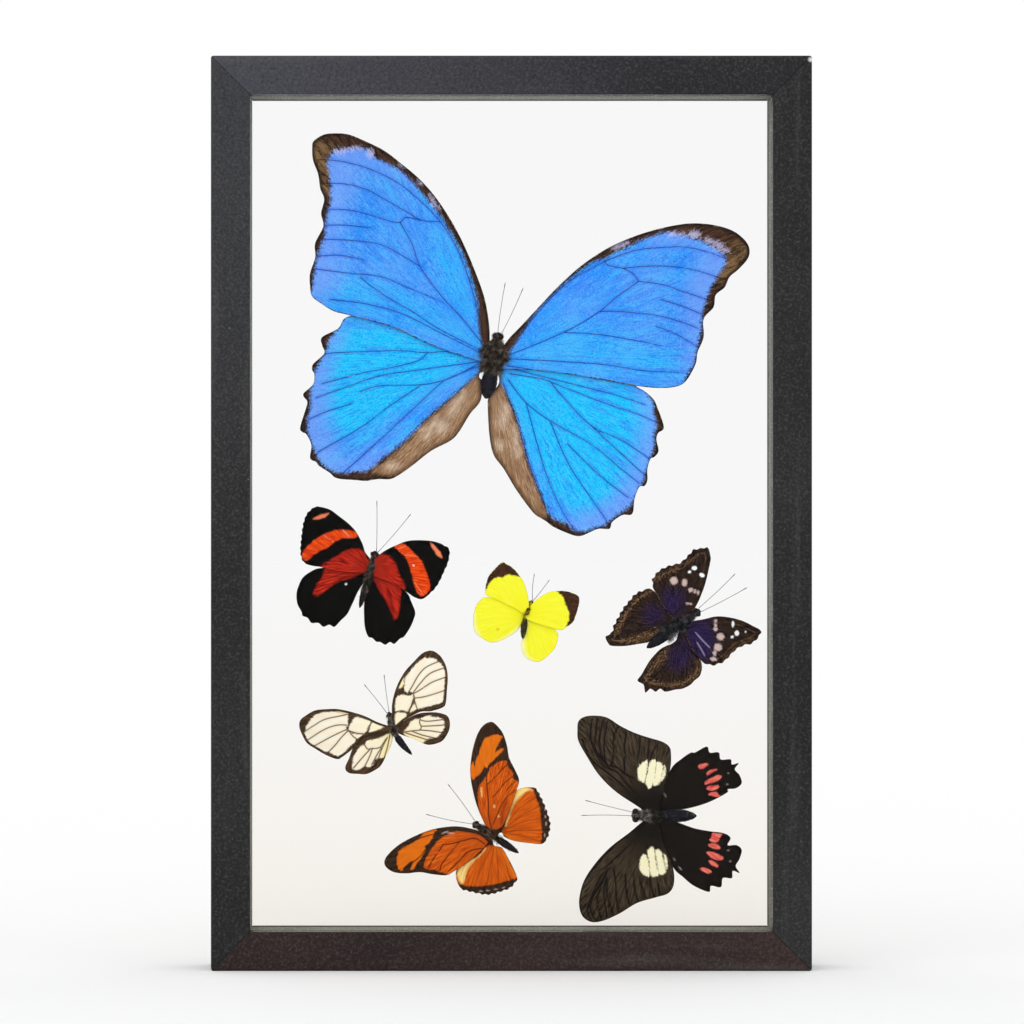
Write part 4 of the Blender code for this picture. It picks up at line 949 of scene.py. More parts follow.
# A black longwing kin with orange and crimson bands, dried and glued by its underside like the
# rest. Its scales are matt black, and brushed streaks of crimson run out from the body.
red_banded = Insect(
    "red_banded", (-46.5, 132.5), (1.6, 6.6), (-3.9, -12.8), (1.3, 1.7, 1.2),
    deep=0.9, rise=0.03,
)
RED_BANDED_WINGS = {
    "left_forewing": {
        "outline": """0.2,0.6 -0.4,3.7 -2,6 -3,9 -5,12.7 -7.3,15.3 -10.7,18 -14,20.3 -18,21.3
            -19.3,21 -21.3,19.3 -22.3,17.3 -23,14.7 -23.7,8.7 -23.7,5.3 -23,3 -21.7,2 -19,1.3
            -16.7,1 -10.3,-0.7 -1.2,-0.9""",
        "band": """303,552 310,544 319,537 327,533 337,530 347,530 355,532 357,537 352,538
            343,538 338,540 333,543 327,548 320,551 311,557 307,561 303,558""",
        "red": """321,567 329,561 337,556 345,551 353,549 362,550 366,557 370,563 368,578
            345,580 322,576""",
        "lobes": ((8, 16, 11, 0.28),),
        "tip": "313,519 320,515 329,513 325,517 319,519",
        "veins": """368,566 345,551 320,532 306,525 / 368,566 350,540 330,515 320,508 / 366,567
            340,562 318,560 305,560 / 358,545 340,527 318,512""",
    },
    "right_forewing": {
        "outline": """0,2.6 3.3,5.6 5.9,7.2 8.3,8.3 12,9.7 16,10 20.3,9.7 23.7,8.7 26,7.3
            26.3,5.3 25.7,2.3 24.7,0 22.9,-3.9 21.3,-6.3 19.4,-8.1 17,-9.7 14.5,-9.1 12.2,-7.6
            8,-5 -0.2,-1.3""",
        "band": """394,546 400,544 406,545 415,554 422,562 427,574 430,588 423,596 417,592
            413,579 410,568 406,558 400,552""",
        "red": """373,557 379,555 387,555 391,558 396,565 400,576 405,588 398,592 386,586
            374,578""",
        "lobes": ((7, 14, 9, 0.22),),
        "tip": "430,543 434,545 440,552 442,558 437,555 433,549",
        "dot": (ellipse(413.4, 565.4, 2.2, 2.2),),
        "veins": """380,562 400,566 420,590 424,598 / 380,560 410,555 436,566 444,575 / 380,558
            410,545 440,550 / 382,566 398,582 410,594""",
    },
    "left_hindwing": {
        "outline": """-16.7,0.7 -19.3,0 -22.7,-2.3 -24.3,-5.3 -25,-8 -24.7,-11.3 -23.3,-14
            -23,-15.3 -21.3,-16 -20,-17.7 -17.7,-17.7 -16,-19 -14,-18.3 -12.3,-19 -10,-16.7
            -8,-14.7 -6,-10.7 -4.3,-7 -1.6,-2.7 -0.6,1 -8.7,1.7""",
        "red": """368,562 366,571 357,575 347,579 339,581 331,586 323,592 316,596 313,593
            317,585 323,575 328,564 350,556""",
        "dot": (ellipse(346, 584, 2.6, 2.6),),
        "veins": """364,575 335,577 305,580 298,582 / 364,576 335,592 305,614 / 364,578 342,600
            322,624 / 362,579 350,602 336,622 / 350,576 330,584 312,596""",
    },
    "right_hindwing": {
        "outline": """12,-7.7 13.3,-10.3 14.7,-14 14.3,-16.3 13,-19.3 11,-22.3 9.7,-22.9
            7.7,-24.7 6.3,-24.1 4.7,-25 3,-24.1 1.7,-24 0.3,-22.7 -1,-22.3 -2.1,-19.3 -2.4,-15.3
            -2.4,-11.7 -1.8,-6 -0.6,-2 7,-3.3""",
        "red": """372,566 384,564 396,574 401,584 400,598 399,612 395,620 393,615 387,602
            380,591 374,579""",
        "dot": (ellipse(378.5, 576, 2, 2),),
        "veins": """374,582 390,600 404,632 / 374,583 384,610 392,640 / 373,584 376,612 378,640
            / 376,580 396,598 412,612 / 374,578 388,588 394,612""",
    },
}
scales = Scales("black and red scales")
ground = scales.mix((scales.streak - 0.36) * 2.4, (1, 1, 1), (18, 16, 15))
ground = scales.mix((scales.fine - 0.6) * 2.0, ground, (62, 54, 48))
crimson = scales.mix((scales.streak - 0.4) * 5.0, (118, 12, 8), (216, 52, 30))
crimson = scales.mix(scales.line(0.16, 0.7), crimson, (96, 14, 16))
crimson = scales.mix((1.0 - scales.reach / 7.0).clamp() * 0.5, crimson, (110, 30, 22))
orange = scales.mix((scales.streak - 0.4) * 5.0, (204, 42, 6), (246, 90, 24))
orange = scales.mix(scales.line(0.13, 0.6), orange, (240, 170, 136))
upper = scales.coats(
    scales.mix(scales.ink("red", 0.8, 1.5), ground, crimson),
    (scales.ink("band", 0.5, 1.0), orange),
    (scales.ink("tip", 0.5, 0.8), (240, 132, 92)),
    (scales.ink("dot", 0.25, 0.1), (250, 242, 238)),
)
below = scales.mix(scales.streak, (48, 36, 30), (84, 64, 50))
below = scales.mix(scales.ink("band", 0.9), below, (196, 132, 92))
scales.both_faces(upper, below, 0.6)
red_banded.dress(
    RED_BANDED_WINGS, scales, ("band", "red", "tip", "dot"), across=28, rim=300
)
red_banded.body(
    chitin("brown-grey body", (22, 18, 16), (16, 14, 14), (96, 84, 74), belt=(40, 36, 34)),
    (((1.8, 6.4), (1.9, 23.3), 0.1), ((2.3, 6.0), (13.3, 18.8), 0.2)),
    ((500, 0.08, 0.46, 0.9, 0.6), (420, 0.3, 0.7, 1.3, 0.8), (160, 0.5, 0.95, 0.5, 0.9)),
)

# A small sulphur: lemon scales all over, paled towards the hindwing margins by painted glare,
# and a dark brown tip to each forewing. Its body is slight and dusted yellow in front, dark
# olive behind.
yellow_sulphur = Insect(
    "yellow_sulphur", (5.7, 119.1), (1.7, 3.5), (-1.5, -9.7), (0.7, 1.1, 1.15),
    deep=1.0, rise=0.03, bow=0.7,
)
YELLOW_SULPHUR_WINGS = {
    "left_forewing": {
        "outline": """0.6,0.4 0.5,3 0,5.7 -1,9 -2.7,11.7 -4.7,14 -6.7,15.3 -8.3,16 -10,14.7
            -12.7,11.7 -13.7,9 -14,7 -13.7,5 -10,3.3 -5,1 -0.6,-1.4""",
        "dark": """165,318 180,290 200,262 225,235 265,215 295,222 320,205 345,193 370,203
            400,205 440,212 470,190 400,90 290,50 170,140 110,320""",
        "veins": """470,520 380,330 300,240 230,250 / 470,520 440,330 400,205 / 465,530 350,380
            200,300 / 460,540 330,440 170,340""",
    },
    "right_forewing": {
        "outline": """0.4,0.3 2.1,2.6 4.7,4.7 7.3,6 10,6.4 12.3,6.4 14.7,5.9 16.8,4.9 17.4,3.7
            17.1,1.2 16.1,-2.1 15.2,-4.1 13.5,-5.4 11.3,-6.7 7,-5.7 -0.2,-3""",
        "dark": """735,335 765,355 790,390 800,430 820,470 835,505 830,530 828,560 810,615
            840,650 940,500 950,350 850,300 730,310""",
        "veins": """510,510 640,400 790,360 / 510,520 660,450 830,450 / 510,530 660,500 820,540
            / 510,540 640,550 780,620""",
    },
    "left_hindwing": {
        "outline": """-13.7,4.3 -16,3 -17.3,1 -18,-2 -18,-5.3 -17.3,-7.7 -15.3,-9.3 -12.7,-10.7
            -10,-10.7 -7,-9.3 -4,-7.5 -2.4,-5.6 -1,-2.2 -0.2,0.4 -6.3,2.7""",
        "dot": (ellipse(262, 635, 18, 18),),
        # Painted glare: where the hindwing is washed pale by light.
        "painted_glare": "60,470 90,640 180,760 330,700 470,600 440,700 200,820 30,700",
        "veins": """455,540 300,500 80,480 / 455,545 300,560 80,600 / 455,550 320,620 140,690 /
            450,555 350,650 240,730""",
    },
    "right_hindwing": {
        "outline": """10,-7.3 10.3,-9.7 9.3,-12.7 7.3,-15 4.7,-17 2.7,-17.3 0,-16.3 -1.7,-14
            -2.1,-11.3 -1.3,-8 -0.7,-4.5 -0.2,-1.6 6,-3.3""",
        # Painted glare: where the hindwing is washed pale by light.
        "painted_glare": "505,560 470,700 500,860 640,930 560,960 420,880 420,620 480,580",
        "veins": """500,550 600,640 740,680 / 500,560 590,700 700,800 / 495,570 550,730 600,890
            / 490,580 500,720 520,860""",
    },
}
scales = Scales("lemon scales", 0.03)
lemon = scales.coats(
    scales.mix((scales.streak - 0.3) * 2.0, (246, 244, 20), (255, 255, 84)),
    ((1.0 - scales.reach / 9.0).clamp() * 0.5, (252, 244, 16)),
    # Painted glare: a pale wash of light over the hindwings' outer parts.
    (scales.ink("painted_glare", 1.6, 0.8, -0.3) * 0.8, (250, 250, 190)),
    (scales.line(0.1, 0.22), (226, 220, 30)),
)
dusk = scales.mix((scales.fine - 0.34) * 2.6, (30, 22, 14), (98, 62, 46))
upper = scales.mix(scales.ink("dark", 0.5, 0.9), lemon, dusk)
upper = scales.mix(scales.ink("dot", 0.8, 0.2) * 0.7, upper, (214, 150, 10))
below = scales.mix(scales.ink("dark", 1.2) * 0.3, lemon, (150, 130, 70))
scales.both_faces(upper, below, 0.8)
yellow_sulphur.dress(
    YELLOW_SULPHUR_WINGS, scales, ("dark", "dot", "painted_glare"), view=((465, 550), 8.0)
)
yellow_sulphur.body(
    chitin("olive body", (60, 50, 18), (48, 46, 22), (176, 158, 40)),
    (((1.8, 3.4), (2.4, 12.2), -0.3), ((2.1, 3.2), (7.4, 10.1), 0.1)),
    ((420, 0.08, 0.5, 0.9, 0.4), (120, 0.46, 0.95, 0.4, 0.8)),
)

# A brown emperor kin with a purple sheen, scalloped margins and rows of pale spots. The sheen
# is in the scales' own ridges, so here it is a violet that fades out over the brown.
purple_spotted = Insect(
    "purple_spotted", (57.9, 115.8), (5.8, 3.5), (-12.3, -9.4), (1.4, 2.2, 2.0),
    deep=0.85, rise=0.03,
)
PURPLE_SPOTTED_WINGS = {
    "left_forewing": {
        "outline": """0,0 3.8,4 6.3,9.3 7.7,13.7 9,19.7 9,21.3 8,24.3 5,24 3.3,23.7 1,21.3
            -1.3,19.3 -5,18.3 -8.3,16.7 -10.3,14.3 -10.7,13.3 -10.3,11 -8.7,8 -6.7,4.7 -3.2,0""",
        "white": (
            ellipse(694, 568, 5.4, 4.2), ellipse(689, 571.8, 3.2, 3),
            ellipse(701.5, 575, 5.6, 4, 30), ellipse(665.5, 612.4, 2.6, 3.6, -20),
        ),
        "pink": (
            ellipse(673.5, 580.5, 7, 8), ellipse(684, 582.5, 5, 7.5),
            ellipse(690.3, 589.8, 5, 4.4), ellipse(694.6, 591.2, 2, 3.6),
            ellipse(697.6, 592.4, 2.6, 3.6), ellipse(688.5, 603.6, 7, 1.6, 10),
        ),
        "sheen": (ellipse(672, 602, 24, 26, 20),),
        "lobes": ((6, 15, 10, 0.45),),
        "light": """650,583 655,577 662,573 670,569 680,564 688,560 696,556 697,559 688,563
            680,567 670,573 662,577 655,581""",
        "veins": """666,622 680,590 700,552 / 666,622 690,595 706,560 / 662,620 672,590 684,562
            / 660,618 662,595 668,570 / 658,615 654,598 654,580""",
    },
    "right_forewing": {
        "outline": """1.6,-0.6 6.8,0.3 10.7,1.2 14.7,1 19,0 22.7,-1.7 26,-4 23.3,-7.7 20,-8.7
            17.3,-10.3 14,-13.7 12,-14.7 9.7,-15.3 7.3,-14.7 6,-13.7 3.7,-11 1.3,-6.7 -0.2,-1.9""",
        "white": (
            ellipse(732.5, 624, 2.6, 6.4), ellipse(736.3, 633, 4.6, 5.4),
            ellipse(731.6, 636.8, 3, 3), ellipse(745, 631.6, 1.8, 2),
        ),
        "pink": (
            ellipse(715.2, 621, 3, 3), ellipse(715, 625, 3, 3.4), ellipse(715, 628.8, 4.2, 4),
            ellipse(720, 636.5, 7.4, 7), ellipse(717.5, 647, 8, 7), ellipse(714.2, 653, 3, 6),
            ellipse(713, 658.8, 6.4, 4),
        ),
        "sheen": (ellipse(700, 638, 32, 46, -15),),
        "lobes": ((6, 13, 8, 0.4),),
        "light": """714,668 720,662 727,654 733,647 742,641 752,637 753,640 743,645 735,651
            729,658 722,665""",
        # Painted glints: two thin lines of reflected light across the forewing.
        "painted_glint": """695.5,632 703,640 709.6,646.8 708.6,647.6 702,641.2 695,633 / 697,641.6
            701,648 704.6,655.2 703.6,655.6 700,649 696.2,642.4""",
        "veins": """680,633 705,624 750,628 / 680,634 710,634 748,640 / 680,635 708,646 730,655
            / 680,637 700,652 716,666 / 680,632 700,622 730,618""",
    },
    "left_hindwing": {
        "outline": """-10.3,10 -12.7,10.3 -16,9 -18.7,6 -20.3,4 -22,1 -23.7,-2.3 -24,-4 -26,-5.6
            -25,-8 -23.7,-8.7 -19.3,-8.7 -14.7,-8 -11.6,-7.4 -7.8,-5.4 -3.5,-2 -1.4,0.2 -5,5""",
        "sheen": (ellipse(653, 615, 18, 18),),
        "lobes": ((1, 8, 9, 0.5),),
        "light": """645,591 634,600 624,612 617,625 612,634 615,636 621,627 628,614 637,602
            648,594 656,592 652,589 / 620,640 634,636 650,630 662,626 660,634 648,640 634,644
            622,643""",
        "veins": """664,625 645,610 638,594 / 664,626 640,615 622,608 / 664,627 640,624 613,622
            / 664,628 642,630 612,636 / 664,624 655,604 652,592""",
    },
    "right_hindwing": {
        "outline": """6,-14 5.7,-18.3 3.7,-20.3 2.3,-21.7 -0.3,-23 -2.7,-23.3 -6,-24 -7.7,-23
            -9.3,-24 -11,-23 -12.7,-24.3 -13.3,-21.7 -15.3,-20.3 -14,-18.3 -12.7,-16 -11,-13.3
            -8,-10 -5.6,-8.6 -4.2,-8.1 -2.2,-6.6 -1.6,-5.2 -0.6,-2 2.3,-8.3""",
        "sheen": (ellipse(680, 655, 20, 30, 20),),
        "light": """646,676 656,680 668,682 680,681 690,676 697,667 699,655 703,660 701,671
            694,680 682,686 668,687 654,685 645,681 / 647,670 655,661 663,651 668,646 670,650
            663,660 655,669 649,675""",
        "veins": """676,642 668,662 650,680 / 677,643 674,665 664,688 / 678,643 682,665 680,688
            / 679,643 692,662 694,680 / 680,642 696,656 702,668""",
    },
}
scales = Scales("purple and brown scales", 0.08)
ground = scales.mix((scales.streak - 0.38) * 4.0, (10, 5, 5), (56, 38, 28))
ground = scales.mix((scales.fine - 0.56) * 3.0, ground, (96, 74, 54))
violet = scales.mix((scales.streak - 0.34) * 2.8, (18, 8, 40), (54, 36, 110))
sheen = scales.ink("sheen", 5.0, 3.4, 0.4) * (0.1 + scales.silk * 1.1)
upper = scales.mix(sheen.clamp(), ground, violet)
band = scales.mix((scales.fine - 0.34) * 2.8, (50, 34, 20), (150, 116, 78))
worn = scales.ink("light", 1.2, 3.6, 0.3) * (scales.fine * 1.6 - 0.3).clamp()
upper = scales.mix(worn, upper, band)
thread = (1.0 - abs(scales.rim - 1.3 - scales.patch * 0.8) / 0.3).clamp() * scales.silk
thread = thread * ((scales.reach - 13.0) / 4.0).clamp() * (scales.fine * 3.4 - 0.9).clamp()
upper = scales.coats(
    upper,
    (thread.clamp(), (140, 110, 76)),
    (scales.line(0.16, 0.8), (14, 9, 10)),
    ((1.0 - scales.rim / 0.6).clamp() * 0.8, (20, 13, 10)),
    (scales.ink("pink", 0.6, 0.9), (208, 184, 176)),
    # Painted glints of reflected light, a pale bluish grey.
    (scales.ink("painted_glint", 0.3, 0.1) * 0.7, (160, 150, 190)),
    (scales.ink("white", 0.35, 0.3), (255, 255, 255)),
)
below = scales.mix((scales.streak - 0.3) * 2.0, (98, 82, 62), (150, 132, 106))
below = scales.mix(scales.ink("light", 1.2), below, (190, 176, 150))
below = scales.mix(scales.ink("white", 0.5), below, (240, 238, 232))
scales.both_faces(upper, below, 0.5)
purple_spotted.dress(
    PURPLE_SPOTTED_WINGS, scales, ("white", "pink", "sheen", "light", "painted_glint"),
    across=30, rim=340,
)
purple_spotted.body(
    chitin("blue-grey body", (14, 13, 14), (20, 22, 30), (70, 71, 73)),
    (((5.2, 4.0), (17.3, 15.5), 0.2), ((5.8, 2.7), (21.3, 10.9), 0.2)),
    ((700, 0.1, 0.48, 0.9, 0.6), (1500, 0.34, 0.64, 2.4, 0.35), (200, 0.5, 0.95, 0.5, 0.9)),
)

# A clearwing: cream membranes almost bare of scales, drawn round and across with brown bands
# and brown veins, and a slender bowed body with a dark tail.
clearwing = Insect(
    "clearwing", (-39.2, 79.3), (-1.6, 5.9), (6.4, -8.7), (0.9, 1.3, 1.25),
    deep=0.95, rise=0.03, fullest=0.62, bow=1.5,
)
CLEARWING_WINGS = {
    "left_forewing": {
        "outline": """0.2,0.4 -5.3,2.4 -9,4.2 -13.3,5.6 -18.3,6.7 -22.3,6.7 -26,6.3 -29,4.7
            -31,3 -31.3,0.7 -30.3,-2 -28.7,-4.7 -25.7,-6.7 -22.3,-8.7 -18.7,-10 -17,-9.3 -14,-7
            -11.3,-4 -8.3,-2 -0.2,-0.6""",
        "cell": """100,520 130,475 160,450 200,437 270,432 310,440 338,448 350,452 350,470
            350,490 350,515 340,530 350,545 370,560 410,570 440,570 430,585 400,600 395,615
            360,645 325,680 295,700 270,695 240,680 200,668 150,640 120,620 100,590 90,560
            95,540 / 395,468 410,466 450,477 488,490 485,502 470,530 460,555 440,570 400,565
            370,555 355,545 360,520 380,490 / 505,496 540,506 575,521 555,533 520,548 480,560
            485,530 495,508 / 283,424 310,426 352,437 347,449 310,441 290,434""",
        "straw": "283,422 310,424 354,436 349,451 310,443 288,436",
        "veins": """345,450 300,460 210,480 140,520 80,560 / 345,515 280,515 200,545 100,610 /
            345,540 300,560 230,595 140,645 / 350,550 310,590 270,640 220,690 / 345,530 380,580
            410,600 / 350,545 400,562 445,567""",
    },
    "right_forewing": {
        "outline": """0.2,0.4 -0.4,6.7 0.2,11 1.7,15.3 4,19.3 6.7,22.3 9.7,25.3 12.7,26.3
            15.3,25 17,22.7 18,20 18.3,16.7 18,12.7 17.7,9 16.7,7.3 12.7,6 9,5.7 4,3""",
        "cell": """695,240 710,210 745,165 780,130 810,110 840,110 860,105 875,110 895,125
            920,150 935,180 940,220 935,260 935,300 930,340 922,370 910,380 860,395 800,410
            770,418 760,400 755,370 748,335 735,315 715,320 700,310 690,295 695,270 / 645,345
            665,335 690,330 715,338 740,330 748,350 740,380 720,420 710,430 690,425 660,425
            640,430 637,400 640,370 / 640,445 665,438 700,442 705,455 690,480 665,505 640,515
            637,480 / 752,385 765,400 768,415 745,430 725,435 735,410 / 655,285 660,255 680,225
            690,225 688,245 690,262 680,285 665,290""",
        "straw": "653,287 658,255 680,223 692,223 690,245 692,262 682,287 665,292",
        "veins": """715,320 740,280 780,210 830,160 925,120 / 745,320 790,260 850,200 945,165 /
            745,325 790,300 860,255 950,222 / 755,350 800,345 860,330 940,303 / 750,350 760,385
            772,420 / 748,355 735,395 718,435 / 725,318 745,325 758,352""",
    },
    "left_hindwing": {
        "outline": """-13,-5.7 -14.7,-9.7 -16,-13 -14.7,-14.7 -12,-15 -8.7,-15 -5.3,-13.3
            -3.7,-11.7 -2,-8.3 -0.5,-5 -0.1,-2.8 0.4,0 -4.3,-0.6 -9,-2""",
        "cell": """380,740 375,770 385,785 415,785 440,770 460,765 480,770 500,760 510,735
            520,720 560,715 585,705 590,690 610,640 620,610 615,570 590,570 560,585 520,600
            480,605 460,615 450,635 425,645 400,680 385,710""",
        "straw": "545,720 560,660 575,600 600,560 640,560 625,620 600,690 585,715",
        "veins": """430,600 455,640 470,660 490,657 / 490,657 440,710 385,775 / 500,655 480,710
            450,770 / 580,600 545,650 490,657 / 555,650 530,690 495,755 / 590,590 560,650
            535,720 / 605,575 590,650 570,715""",
    },
    "right_hindwing": {
        "outline": """12.7,5.6 17,5 18.7,3.6 19,0.7 18,-2 16,-4.3 12,-5.3 9,-4.3 6,-3 2,-1.6
            0.2,0 7,4.6""",
        "cell": """690,555 710,530 730,500 760,480 785,475 830,460 870,465 910,470 930,490
            935,520 925,550 905,575 880,590 850,595 825,605 800,625 770,615 740,600 700,575""",
        "straw": "690,552 740,575 800,598 826,606 800,628 740,606 690,572",
        "veins": """680,560 740,550 785,545 795,525 785,500 790,470 / 785,545 850,550 915,560 /
            795,522 860,520 940,514 / 786,482 830,492 925,482 / 700,562 770,585 830,604 /
            740,553 800,575 870,592""",
    },
}
scales = Scales("clear membrane and brown scales", 0.12)
cream = scales.coats(
    scales.mix((scales.silk - 0.34) * 2.8, (255, 252, 234), (255, 240, 216)),
    ((1.0 - scales.reach / 16.0).clamp() * 0.9, (255, 246, 204)),
    ((scales.fine - 0.54) * 2.0, (255, 252, 240)),
    (scales.ink("straw", 1.6), (255, 243, 186)),
    ((1.4 - scales.vein / 0.7).clamp() * 0.2, (214, 180, 130)),
)
brown = scales.mix((scales.streak - 0.34) * 2.8, (32, 20, 12), (98, 72, 44))
brown = scales.mix((1.3 - scales.rim / 0.25).clamp() * 0.6, brown, (22, 14, 10))
edge = ((0.95 - scales.rim) / 0.3).clamp() * scales.field("fore")
window = scales.ink("cell", 0.45, 0.9) * (1.0 - edge)
upper = scales.mix(window, brown, cream)
upper = scales.mix(scales.line(0.2, 0.9), upper, (84, 58, 38))
scales.both_faces(upper, scales.mix(0.18, upper, (190, 150, 110)), 0.45)
clearwing.dress(
    CLEARWING_WINGS, scales, ("cell", "straw"),
    across=34, rim=260, vein_radius=0.12, view=((290, 640), 6.06),
)
clearwing.body(
    chitin("dark slender body", (30, 27, 26), (24, 24, 32), (118, 110, 100)),
    (((-2.0, 5.3), (-9.7, 15.0), 0.1), ((-1.3, 5.5), (-3.0, 18.3), -0.1)),
    ((560, 0.06, 0.5, 1.1, 0.4), (140, 0.46, 0.95, 0.4, 0.8)),
)

# An orange longwing: dark brown wings filled with orange between the veins, which stay dark, and
# a pale yellow edge where each hindwing slides under its forewing.
orange_longwing = Insect(
    "orange_longwing", (-7.1, 44.8), (-5.6, 3.3), (10.0, -7.0), (1.2, 1.7, 1.3),
    deep=0.9, rise=0.03,
)
ORANGE_LONGWING_WINGS = {
    "left_forewing": {
        "outline": """-0.6,-0.6 -5.7,1.2 -10.7,2 -15.3,1.7 -20,0.7 -25,-1.3 -30,-4 -33.7,-7.3
            -35,-9.7 -34.3,-11.7 -31.7,-13.3 -27.7,-13.7 -23,-13.3 -18.7,-14 -14.3,-14.3
            -11.7,-13 -8,-10.7 -4.3,-7.7 0,-3""",
        "orange": """485,839 477,834 467,832 457,831 451,832 446,835 440,838 435,844 430,851
            426,858 424,864 424,867 428,869 433,869 438,871 442,872 448,874 453,876 480,864
            490,848 / 437,829 428,831 423,833 419,838 413,842 406,846 402,848 399,851 398,854
            397,859 397,863 398,867 400,870 402,870 405,866 409,862 412,860 413,862 411,867
            411,869 413,869 417,863 421,858 424,852 426,849 425,846 427,844 431,840 433,836
            433,834 434,832""",
        "amber": "438,828 420,834 404,845 394,856 396,870 412,874 424,860 434,838",
        "grey": (ellipse(451, 833, 8, 1.6, 5), ellipse(445, 832, 8, 1.6, -20)),
        "veins": """485,844 475,838 464,840 453,843 443,844 / 443,844 438,852 431,862 429,867 /
            460,841 453,849 442,863 440,869 / 482,848 471,850 465,854 457,863 448,871 / 433,834
            425,836 417,839 408,844 / 426,848 419,857 412,862""",
    },
    "right_forewing": {
        "outline": """0.2,0 -2.2,4.3 -4.2,9.3 -5.5,14.3 -6.3,19.7 -6,24.7 -5.1,29.3 -3.7,33.3
            -1.7,36 0.7,37 2.7,35.7 4.7,33 6,29 6.7,25 8.3,21.7 10,17.7 9.3,14.3 6.3,6 2.6,-1.4""",
        "orange": """496,734 501,735 502,737 499,742 497,747 495,750 495,752 498,750 501,748
            503,748 502,751 498,755 493,760 489,764 487,767 485,766 483,768 481,772 478,775
            475,777 473,779 470,775 470,769 473,761 474,766 476,760 479,752 481,746 484,739
            487,737 492,735 / 505,760 507,762 507,764 509,768 512,771 513,775 513,778 517,781
            521,784 520,792 514,801 506,820 499,828 492,829 487,826 482,818 479,809 478,799
            478,791 480,784 484,779 487,775 490,768 496,763 500,761""",
        "amber": "496,731 506,736 506,750 496,760 484,770 470,782 466,772 476,744 484,735",
        # Here the pale marks are painted highlights: small glints of light on the forewing's
        # scales.
        "pale": (
            ellipse(494, 806, 0.8, 3), ellipse(498.5, 816, 1.6, 1),
            ellipse(481.4, 792, 0.5, 9, -4),
        ),
        "dark": "506,798 508,800 504,812 503,824 500,826 501,812",
        "veins": """508,763 500,771 493,779 487,784 / 513,776 505,782 498,791 492,797 / 515,781
            506,790 / 516,789 505,799 499,810 493,824 / 486,778 487,786 488,799 489,818 492,829""",
    },
    "left_hindwing": {
        "outline": """-10.7,-12.3 -11,-15.3 -10,-18 -9,-19.3 -3.3,-20.7 0,-21 4,-20 7.3,-18.7
            9.3,-16.3 9.3,-14.7 7.3,-10.3 4.7,-5.7 3.3,-4.8 1.7,-4.4 0.4,-1.8 -3.7,-6.7 -8,-10""",
        "orange": """487,846 497,845 502,848 508,859 515,873 517,877 512,879 506,881 499,883
            494,884 488,885 482,886 477,886 469,886 463,885 458,883 456,878 457,872 460,867
            467,862 477,857 484,849""",
        "pale": """486,848 481,854 473,862 467,870 464,882 461,883 459,880 457,874 460,868
            467,862 477,857""",
        "amber": "497,843 504,846 511,859 519,875 514,878 506,864 499,851",
        "grey": (
            ellipse(481, 891, 4, 1.5), ellipse(488, 890.3, 4.4, 1.4), ellipse(496, 889, 4, 1.4),
            ellipse(503.5, 887.4, 4, 1.4, -20),
        ),
        "lobes": ((2, 8, 10, 0.4),),
        "veins": """472,862 465,872 463,883 / 466,862 459,878 / 492,846 482,866 474,886 /
            494,846 490,868 486,886 / 496,846 498,866 498,884 / 498,846 506,864 510,880""",
    },
    "right_hindwing": {
        "outline": """9.3,14 12.3,15 15.7,14.7 17.3,12.3 18.7,9.3 20,5.7 20.7,2.3 20,-1.3 19,-3
            17.3,-4 13.7,-3.7 8.6,-3 5.2,-1.6 4.2,-0.2 1.4,-0.6 4.3,5.7 6.3,10.7""",
        "orange": """516,790 521,788 530,787 534,791 535,795 537,801 539,805 540,812 541,819
            541,825 542,833 541,840 539,845 525,843 512,840 504,835 502,831 506,823 512,803""",
        "pale": """506,826 509,817 513,806 519,798 527,791 532,790 529,788 521,788 516,791
            513,802 506,823""",
        "amber": "502,834 514,839 527,842 540,844 540,848 525,847 510,842",
        "grey": (
            ellipse(545, 809, 1.6, 3), ellipse(545.3, 816.5, 1.6, 3),
            ellipse(546, 823.5, 1.6, 4), ellipse(544.6, 835, 1.6, 4),
        ),
        "lobes": ((2, 8, 9, 0.4),),
        "veins": """509,815 514,803 521,795 530,790 / 503,830 518,810 536,797 / 503,830 521,816
            540,806 / 503,831 522,822 543,818 / 504,832 524,830 543,831 / 504,833 522,836
            541,841""",
    },
}
scales = Scales("orange and brown scales", 0.08)
ground = scales.mix((scales.streak - 0.34) * 2.6, (26, 16, 10), (74, 52, 34))
fore = scales.field("fore")
orange = scales.coats(
    scales.mix((scales.streak - 0.4) * 5.0, (176, 60, 3), (232, 112, 20)),
    ((1.0 - fore) * 0.45, (216, 96, 12)),
    ((scales.silk - 0.5) * 3.0, (170, 54, 4)),
    (scales.ink("amber", 2.0) * 0.6, (238, 126, 18)),
    ((1.0 - scales.reach / 12.0).clamp() * 0.5 * fore, (150, 54, 12)),
    (scales.line(0.2, 0.85) * (0.35 + fore * 0.65), (100, 36, 8)),
)
upper = scales.coats(
    scales.mix(scales.ink("orange", 0.45, 0.9), ground, orange),
    # Pale: a real pale yellow edge on the hindwings, and painted highlights on the right forewing.
    (scales.ink("pale", 0.8, 0.8), (255, 226, 140)),
    (scales.ink("dark", 0.8) * 0.6, (128, 34, 6)),
    (scales.line(0.13, 0.7) * (0.4 + fore * 0.6), (56, 30, 16)),
    (scales.ink("grey", 0.35, 0.3) * 0.7, (184, 172, 166)),
)
below = scales.mix(0.45, upper, (214, 170, 120))
scales.both_faces(upper, below, 0.55)
orange_longwing.dress(
    ORANGE_LONGWING_WINGS, scales, ("orange", "amber", "pale", "dark", "grey"),
    across=34, rim=280,
)
orange_longwing.body(
    chitin("dark brown body", (22, 17, 15), (24, 22, 26), (98, 80, 62)),
    (((-4.8, 3.9), (-13.8, 16.2), 0.2), ((-5.3, 2.7), (-21.2, 6.1), -0.3)),
    ((500, 0.08, 0.46, 0.9, 0.5), (360, 0.3, 0.6, 1.3, 0.6), (160, 0.5, 0.95, 0.5, 0.9)),
)

